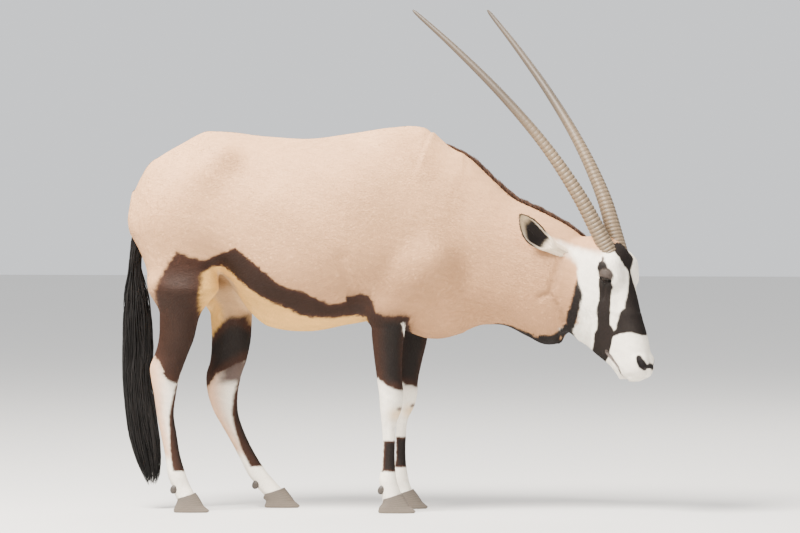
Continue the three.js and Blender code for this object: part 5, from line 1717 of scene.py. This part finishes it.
def strand_object(name, built, tints, material):
    """A piece of strands, with a tint for each and a small patch of the unwrap for each."""
    points, faces, per_strand = built
    obj = mesh_object(name, points, faces, material)
    count = len(points) // per_strand
    fade = np.linspace(0.8, 1.15, per_strand)[None, :, None]
    add_colours(obj, (tints[:, None] * fade).reshape(-1, 3))
    columns = math.ceil(math.sqrt(count))
    cell = np.stack((np.arange(count) % columns, np.arange(count) // columns), axis=1)
    corner = 0.005 + 0.99 * cell / columns
    local = faces % per_strand
    spread = np.stack(((local % 4) / 3, (local // 4) / (per_strand // 4)), axis=2)
    owner = faces // per_strand
    add_unwrap(obj, corner[owner] + spread * 0.85 / columns)
    return obj


TAIL_STRANDS = 3100
TAIL_ROOTS = (890, 370)   # the heights between which the strands leave the dock
TAIL_LOWEST = 72
TAIL_STOPS = 8
TAIL_LENGTHS = (300, 95)   # low on the dock, and at its top
TAIL_BLACK = (0.0042, 0.0035, 0.0033)


def tail_points(z, angle, share):
    """Points round the tail at heights: share 0 on its middle line, 1 at the hair's outline."""
    back, front, wide = (np.interp(z, TAIL_TABLE[:, 0], TAIL_TABLE[:, i]) for i in (1, 2, 3))
    x = (back + front) / 2 + share * (front - back) / 2 * np.cos(angle)
    return np.stack((x, share * wide * np.sin(angle), z), axis=-1)


def build_tail(material, random):
    """Long black hair that hangs from the dock, its ends at many heights."""
    count = TAIL_STRANDS
    highest, lowest = TAIL_ROOTS
    root = highest - (highest - lowest) * random.uniform(0, 1, count) ** 0.85
    angle = random.uniform(0, 2 * math.pi, count)
    short = smoothstep(root, 740, 850)
    length = mix(*TAIL_LENGTHS, short) * random.uniform(0.75, 1.25, count)
    outward = random.uniform(0.25, 1, count) ** 0.6 * 0.97
    swing = random.normal(0, 0.28, count)
    t = np.linspace(0, 1, TAIL_STOPS)[None]
    floor = TAIL_LOWEST + 60 * (1 - outward[:, None])
    z = np.maximum(root[:, None] - length[:, None] * t, floor)
    z = np.minimum(z, root[:, None] - 8 * t)
    start = 0.25 + 0.3 * short
    share = mix(start[:, None], outward[:, None], smoothstep(t, -0.05, 0.5))
    wave = 0.06 * np.sin(5 * t * (1 + swing[:, None]) + angle[:, None] * 7)
    paths = tail_points(z, angle[:, None] + swing[:, None] * t + wave, share)
    broad = np.stack((-np.sin(angle), np.cos(angle), np.zeros(count)), axis=1)
    built = strands(paths, random.uniform(3.0, 6.2, count), 0.45, broad)
    tints = np.array(TAIL_BLACK) * random.uniform(0.6, 1.9, (count, 1))
    return strand_object("tail_hair", built, tints, material)


MANE_STRANDS = 4200
MANE_SPAN = (-0.02, 1.045)
MANE_SINK = 6
MANE_TINT = (0.060, 0.032, 0.021)
CREST_SPAN = (-10, 600)


def crest_place(t):
    """The point of the crest at each share of its length."""
    start, end = CREST_SPAN
    along = start + (end - start) * t
    height = read(NECK_TABLE, 1, along)
    base = np.array(NECK_FOOT) + np.outer(along, NECK_AXIS) + np.outer(height, NECK_RISE)
    base[:, 1] -= neck_bend(along)
    return base


def build_mane(material, random):
    """Short dark hair that stands along the crest and leans back."""
    count = MANE_STRANDS
    t = random.uniform(*MANE_SPAN, count)
    crest = crest_place(t)
    side = random.normal(0, 4.5, count)
    backward = unit_rows(crest_place(t - 0.02) - crest_place(t + 0.02))
    up = unit_rows(np.cross(np.array((0.0, 1, 0)), -backward))
    up *= np.sign(up[:, 2:3])
    across = np.cross(backward, up)
    root = crest + across * side[:, None] - up * (MANE_SINK + side[:, None] ** 2 * 0.012)
    uneven = 1 + 0.2 * np.sin(23 * t + 1) * np.sin(57 * t)
    tall = (5 + 7 * np.sin(math.pi * np.clip(1.25 * t, 0, 1))) * uneven
    tall = tall * random.uniform(0.4, 1.3, count) * (1 - 0.35 * np.abs(side) / 20)
    lean = random.uniform(1.0, 2.0, count)
    stops = np.linspace(0, 1, 5)[None, :, None]
    rise = up[:, None] * (tall[:, None, None] + MANE_SINK) * (stops - 0.22 * stops**2)
    back = backward[:, None] * (tall * lean)[:, None, None] * stops**1.6
    spread = across[:, None] * (side * 0.35)[:, None, None] * stops
    paths = root[:, None] + rise + back + spread
    broad = across + backward * random.normal(0, 0.8, (count, 1))
    built = strands(paths, random.uniform(1.6, 3.0, count), 0.4, broad)
    tints = np.array(MANE_TINT) * random.uniform(0.4, 2.2, (count, 1))
    return strand_object("mane_hair", built, tints, material)


LASHES = {"upper": 70, "lower": 36}
LASH_TINT = (0.02, 0.016, 0.014)


def lash_paths(side, lid, random):
    """Lashes along one lid's edge, as paths in design points."""
    count = LASHES[lid]
    direction, longer = (1, 1.25) if lid == "upper" else (-1, 0.6)
    u = random.uniform(-0.8, 0.9, count) * SLIT_HALF_LENGTH
    upper, lower = lid_edges(u)
    v = (upper if lid == "upper" else lower) + 0.5 * direction
    out = np.sqrt(np.maximum((EYE["radius"] + LID) ** 2 - u**2 - v**2, 4)) - 2.2
    length = (random.uniform(5, 10, count) * longer)[:, None]
    t = np.linspace(0, 1, 5)[None]
    lash_u = u[:, None] * (1 + 0.30 * t)
    lash_v = v[:, None] + direction * length * (0.15 * t + 0.55 * t**2) - 1.5 * t * direction
    lash_out = out[:, None] + length * 0.85 * t * (1 - 0.2 * t)
    local = np.stack((lash_u, lash_v, lash_out), axis=2) @ np.array((EYE_CORNER, EYE_LIFT, GAZE))
    local = local + EYE_PLACE
    local[..., 1] *= side
    return from_head(local)


def build_lashes(material, random):
    paths = [lash_paths(side, lid, random) for side in (1, -1) for lid in LASHES]
    paths = np.concatenate(paths)
    broad = np.tile(HEAD_ALONG, (len(paths), 1))
    built = strands(paths, np.full(len(paths), 0.75), 0.8, broad)
    tints = np.array(LASH_TINT) * np.ones((len(paths), 1))
    return strand_object("lashes", built, tints, material)


# Materials


def new_material(name, roughness, shine=0.3, clear_coat=0):
    material = bpy.data.materials.new(name)
    material.use_nodes = True
    shader = material.node_tree.nodes["Principled BSDF"]
    shader.inputs["Roughness"].default_value = roughness
    shader.inputs["Specular IOR Level"].default_value = shine
    shader.inputs["Coat Weight"].default_value = clear_coat
    shader.inputs["Coat Roughness"].default_value = 0.04
    return material, shader


def tinted_material(name, roughness, shine, variation, noise_scale, stretch, bump, clear_coat):
    """A surface in the mesh's own tint, varied by noise, with a fine bump from the same noise."""
    material, shader = new_material(name, roughness, shine, clear_coat)
    nodes, links = material.node_tree.nodes, material.node_tree.links
    place = nodes.new("ShaderNodeTexCoord")
    mapping = nodes.new("ShaderNodeMapping")
    mapping.inputs["Scale"].default_value = stretch
    noise = nodes.new("ShaderNodeTexNoise")
    noise.inputs["Scale"].default_value = noise_scale
    noise.inputs["Detail"].default_value = 5
    noise.inputs["Roughness"].default_value = 0.62
    links.new(place.outputs["Object"], mapping.inputs["Vector"])
    links.new(mapping.outputs["Vector"], noise.inputs["Vector"])
    tint = nodes.new("ShaderNodeAttribute")
    tint.attribute_name = "tint"
    strength = nodes.new("ShaderNodeMapRange")
    strength.inputs["To Min"].default_value = 1 - variation
    strength.inputs["To Max"].default_value = 1 + variation
    links.new(noise.outputs["Fac"], strength.inputs["Value"])
    scaled = nodes.new("ShaderNodeVectorMath")
    scaled.operation = "SCALE"
    links.new(tint.outputs["Color"], scaled.inputs["Vector"])
    links.new(strength.outputs["Result"], scaled.inputs["Scale"])
    links.new(scaled.outputs["Vector"], shader.inputs["Base Color"])
    relief = nodes.new("ShaderNodeBump")
    relief.inputs["Strength"].default_value = bump
    relief.inputs["Distance"].default_value = 0.001
    links.new(noise.outputs["Fac"], relief.inputs["Height"])
    links.new(relief.outputs["Normal"], shader.inputs["Normal"])
    return material


# Putting it together


BARE_EYE_REACH = 22
BARE_EYE_RIM = 2.5
BARE_NOSTRIL = 4.2
BARE_MOUTH = 4.6
EAR_TUFT_SPACING = 3.0
SKIN_SHADE = 0.92   # the skin under the fur against the fur's own colour


def is_bare(points):
    """Whether no fur grows: in the eye's slit, the nostril and the line of the mouth."""
    place = mirrored(in_head(points))
    eye = in_eye(place)
    upper, lower = lid_edges(eye[:, 0])
    bare = (eye[:, 2] > 0) & (np.abs(eye[:, 0]) < BARE_EYE_REACH)
    bare &= (eye[:, 1] < upper + BARE_EYE_RIM) & (eye[:, 1] > lower - BARE_EYE_RIM)
    bare |= tapered_line(place, NOSTRIL, NOSTRIL_WIDTHS) < BARE_NOSTRIL
    bare |= line_distance(place, MOUTH_LINE) < BARE_MOUTH
    return bare & (points[:, 0] > 520)


def tuft_spacing(points):
    return 1.1 + 0.25 * hair_length(points)


def body_coat(points, triangles, material, random):
    """Short fur over the whole skin."""
    chosen, shares = scatter(points, triangles, tuft_spacing, random)
    corners = triangles[chosen]
    roots = at_shares(points, corners, shares)
    outward = unit_rows(at_shares(point_normals(points, triangles), corners, shares))
    furred = ~is_bare(roots)
    roots, outward = roots[furred], outward[furred]
    length = hair_length(roots) * random.uniform(0.75, 1.2, len(roots))
    lie = hair_lie(roots) + random.normal(0, 0.16, roots.shape)
    tufts = build_tufts(roots, outward, lie, length, 0.24 * length, 0.13 * length + 0.4)
    middles = roots + 0.5 * length[:, None] * lie
    colours = coat_colours(middles) * random.uniform(0.93, 1.07, (len(roots), 1))
    part = chart_of(roots)
    places = chart_place(*unrolled(roots, part), part)
    return tuft_objects("coat", tufts, colours, places, material)


def even_spacing(points):
    return np.full(len(points), EAR_TUFT_SPACING)


def ear_coat(name, shell, material, random):
    """Short fur over one ear, from its root to its tip."""
    points, triangles, colours, axis, places = shell
    chosen, shares = scatter(points, triangles, even_spacing, random)
    corners = triangles[chosen]
    roots = at_shares(points, corners, shares)
    outward = unit_rows(at_shares(point_normals(points, triangles), corners, shares))
    angle, along = at_shares(places, corners, shares).T
    length = random.uniform(6, 10, len(roots))
    lie = np.tile(axis, (len(roots), 1)) + random.normal(0, 0.2, roots.shape)
    tufts = build_tufts(roots, outward, lie, length, 1.9, 1.1)
    tint = at_shares(colours, corners, shares) * random.uniform(0.85, 1.15, (len(roots), 1))
    part = np.full(len(roots), CHART_NAMES.index(name))
    return tuft_objects(f"{name}_coat", tufts, tint, chart_place(angle, along, part), material)


def build_skin(material):
    """The skin of body, head and ears as one piece."""
    points, triangles = skin_surface()
    parts, tints, shells = [(points, triangles)], [coat_colours(points)], {}
    unwraps = [skin_unwrap(points, triangles)]
    for name in EAR_POSES:
        shells[name] = shell = ear_shell(name)
        ear_points, ear_triangles, colours, _, places = shell
        parts.append((ear_points, ear_triangles))
        tints.append(colours)
        part = np.full(ear_triangles.size, CHART_NAMES.index(name))
        angle, along = places[ear_triangles].reshape(-1, 2).T
        unwraps.append(chart_place(angle, along, part))
    skin = mesh_object("skin", *merge(parts), material)
    add_colours(skin, np.concatenate(tints) * SKIN_SHADE)
    add_unwrap(skin, np.concatenate(unwraps))
    return skin, points, triangles, shells


# Roughness, shine, variation, size of the noise, its stretch, bump and clear coat
LOOKS = {
    "coat_hair": (0.6, 0.25, 0.12, 900, (1, 1, 1), 0.2, 0),
    "skin_coat": (0.7, 0.2, 0.3, 420, (0.35, 1, 1), 0.5, 0),
    "horn": (0.48, 0.4, 0.28, 160, (1, 1, 1), 0.5, 0),
    "hoof": (0.5, 0.4, 0.3, 220, (1, 1, 2.5), 0.5, 0),
    "eye": (0.3, 0.3, 0.15, 700, (1, 1, 1), 0.02, 0.12),
    "dark_hair": (0.55, 0.2, 0.35, 300, (1, 1, 0.15), 0.3, 0),
}
RANDOM_SEED = 7


def build_head_pieces(looks):
    """Horns and eyeballs of both sides."""
    horns, eyes = [], []
    for name, side in (("right", 1), ("left", -1)):
        horn = build_horn(f"horn_{name}_ringed", side, looks["horn"])
        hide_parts(f"horn_{name}")
        horns.append(horn)
        eye = build_eye(f"eye_{name}_ball", side, looks["eye"])
        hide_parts(f"eye_{name}")
        eyes.append(eye)
    return horns, eyes


def build_feet(look):
    """The two claws and two dewclaws of each foot."""
    hooves = []
    for name in LEGS:
        for inward in (True, False):
            where = "inner" if inward else "outer"
            claw = build_claw(name, inward, look)
            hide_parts(f"{name}_claw_{where}")
            dewclaw = build_dewclaw(name, inward, look)
            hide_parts(f"{name}_dewclaw_{where}")
            hooves += [claw, dewclaw]
    return hooves


def build_animal():
    random = np.random.default_rng(RANDOM_SEED)
    looks = {name: tinted_material(name, *values) for name, values in LOOKS.items()}
    skin, points, triangles, shells = build_skin(looks["skin_coat"])
    flesh = ["torso", "neck", "head", "ear_right", "ear_left"]
    flesh += [f"{name}_{part}" for name in LEGS for part in ("upper", "lower")]
    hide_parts(*flesh)
    horns, eyes = build_head_pieces(looks)
    hooves = build_feet(looks["hoof"])
    dark_hair = looks["dark_hair"]
    tail = build_tail(dark_hair, random)
    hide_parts("tail")
    hair = [tail, build_mane(dark_hair, random), build_lashes(dark_hair, random)]
    fur = [skin, *body_coat(points, triangles, looks["coat_hair"], random)]
    for name, shell in shells.items():
        fur += ear_coat(name, shell, looks["coat_hair"], random)
    groups = {"coat": fur, "horn": horns, "hoof": hooves, "eye": eyes, "dark_hair": hair}
    for slot, pieces in groups.items():
        for piece in pieces:
            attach(piece, "root")


# Camera, light and floor

VIEW_TURN = math.radians(4)
VIEW_LIFT = math.radians(2)
VIEW_DISTANCE = 22000
VIEW_WIDTH = 2480
VIEW_TARGET = (37.2, 0, 757.95)
SENSOR_WIDTH = 36


def bearing(turn, lift):
    """The direction seen under a turn to the left of straight ahead and a lift, in radians."""
    level = math.cos(lift)
    return np.array((-math.sin(turn) * level, math.cos(turn) * level, math.sin(lift)))


def set_camera():
    ahead = bearing(VIEW_TURN, -VIEW_LIFT)
    data = bpy.data.cameras.new("camera")
    data.sensor_width = SENSOR_WIDTH
    data.lens = SENSOR_WIDTH * VIEW_DISTANCE / VIEW_WIDTH
    data.clip_end = 100
    camera = bpy.data.objects.new("camera", data)
    camera.location = Vector(to_frame(np.array(VIEW_TARGET) - ahead * VIEW_DISTANCE))
    camera.rotation_euler = Vector(ahead).to_track_quat("-Z", "Y").to_euler()
    bpy.context.scene.collection.objects.link(camera)
    bpy.context.scene.camera = camera


LIGHTS = {  # degrees round to the right of the camera, degrees up, power, size
    "key": (-38, 52, 1900, 2.6), "fill": (40, 25, 130, 4.0), "back": (165, 45, 260, 3.0),
}
LIGHT_COLOUR = (1.0, 0.95, 0.88)
LIGHT_DISTANCE = 6
LIT_MIDDLE = (0, 0, 0.7)
SKY_COLOUR = (0.90, 0.92, 0.95, 1)
SKY_STRENGTH = 1.1


def set_light():
    world = bpy.data.worlds.new("studio")
    world.use_nodes = True
    background = world.node_tree.nodes["Background"]
    background.inputs["Color"].default_value = SKY_COLOUR
    background.inputs["Strength"].default_value = SKY_STRENGTH
    bpy.context.scene.world = world
    for name, (turn, lift, power, size) in LIGHTS.items():
        data = bpy.data.lights.new(name, "AREA")
        data.energy = power
        data.color = LIGHT_COLOUR
        data.size = size
        light = bpy.data.objects.new(name, data)
        ahead = Vector(bearing(math.radians(turn), -math.radians(lift)))
        light.location = Vector(LIT_MIDDLE) - ahead * LIGHT_DISTANCE
        light.rotation_euler = ahead.to_track_quat("-Z", "Y").to_euler()
        bpy.context.scene.collection.objects.link(light)


FLOOR_COLOURS = ((0.66, 0.65, 0.63, 1), (0.72, 0.71, 0.69, 1))


def set_floor():
    material, shader = new_material("floor", 0.75)
    nodes, links = material.node_tree.nodes, material.node_tree.links
    noise = nodes.new("ShaderNodeTexNoise")
    noise.inputs["Scale"].default_value = 3
    ramp = nodes.new("ShaderNodeValToRGB")
    for element, colour in zip(ramp.color_ramp.elements, FLOOR_COLOURS):
        element.color = colour
    links.new(noise.outputs["Fac"], ramp.inputs["Fac"])
    links.new(ramp.outputs["Color"], shader.inputs["Base Color"])
    bpy.ops.mesh.primitive_plane_add(size=40, location=(0, 0, 0))
    floor = bpy.context.object
    floor.name = "floor"
    floor.data.materials.append(material)


def main():
    build_animal()
    set_camera()
    set_light()
    set_floor()


main()
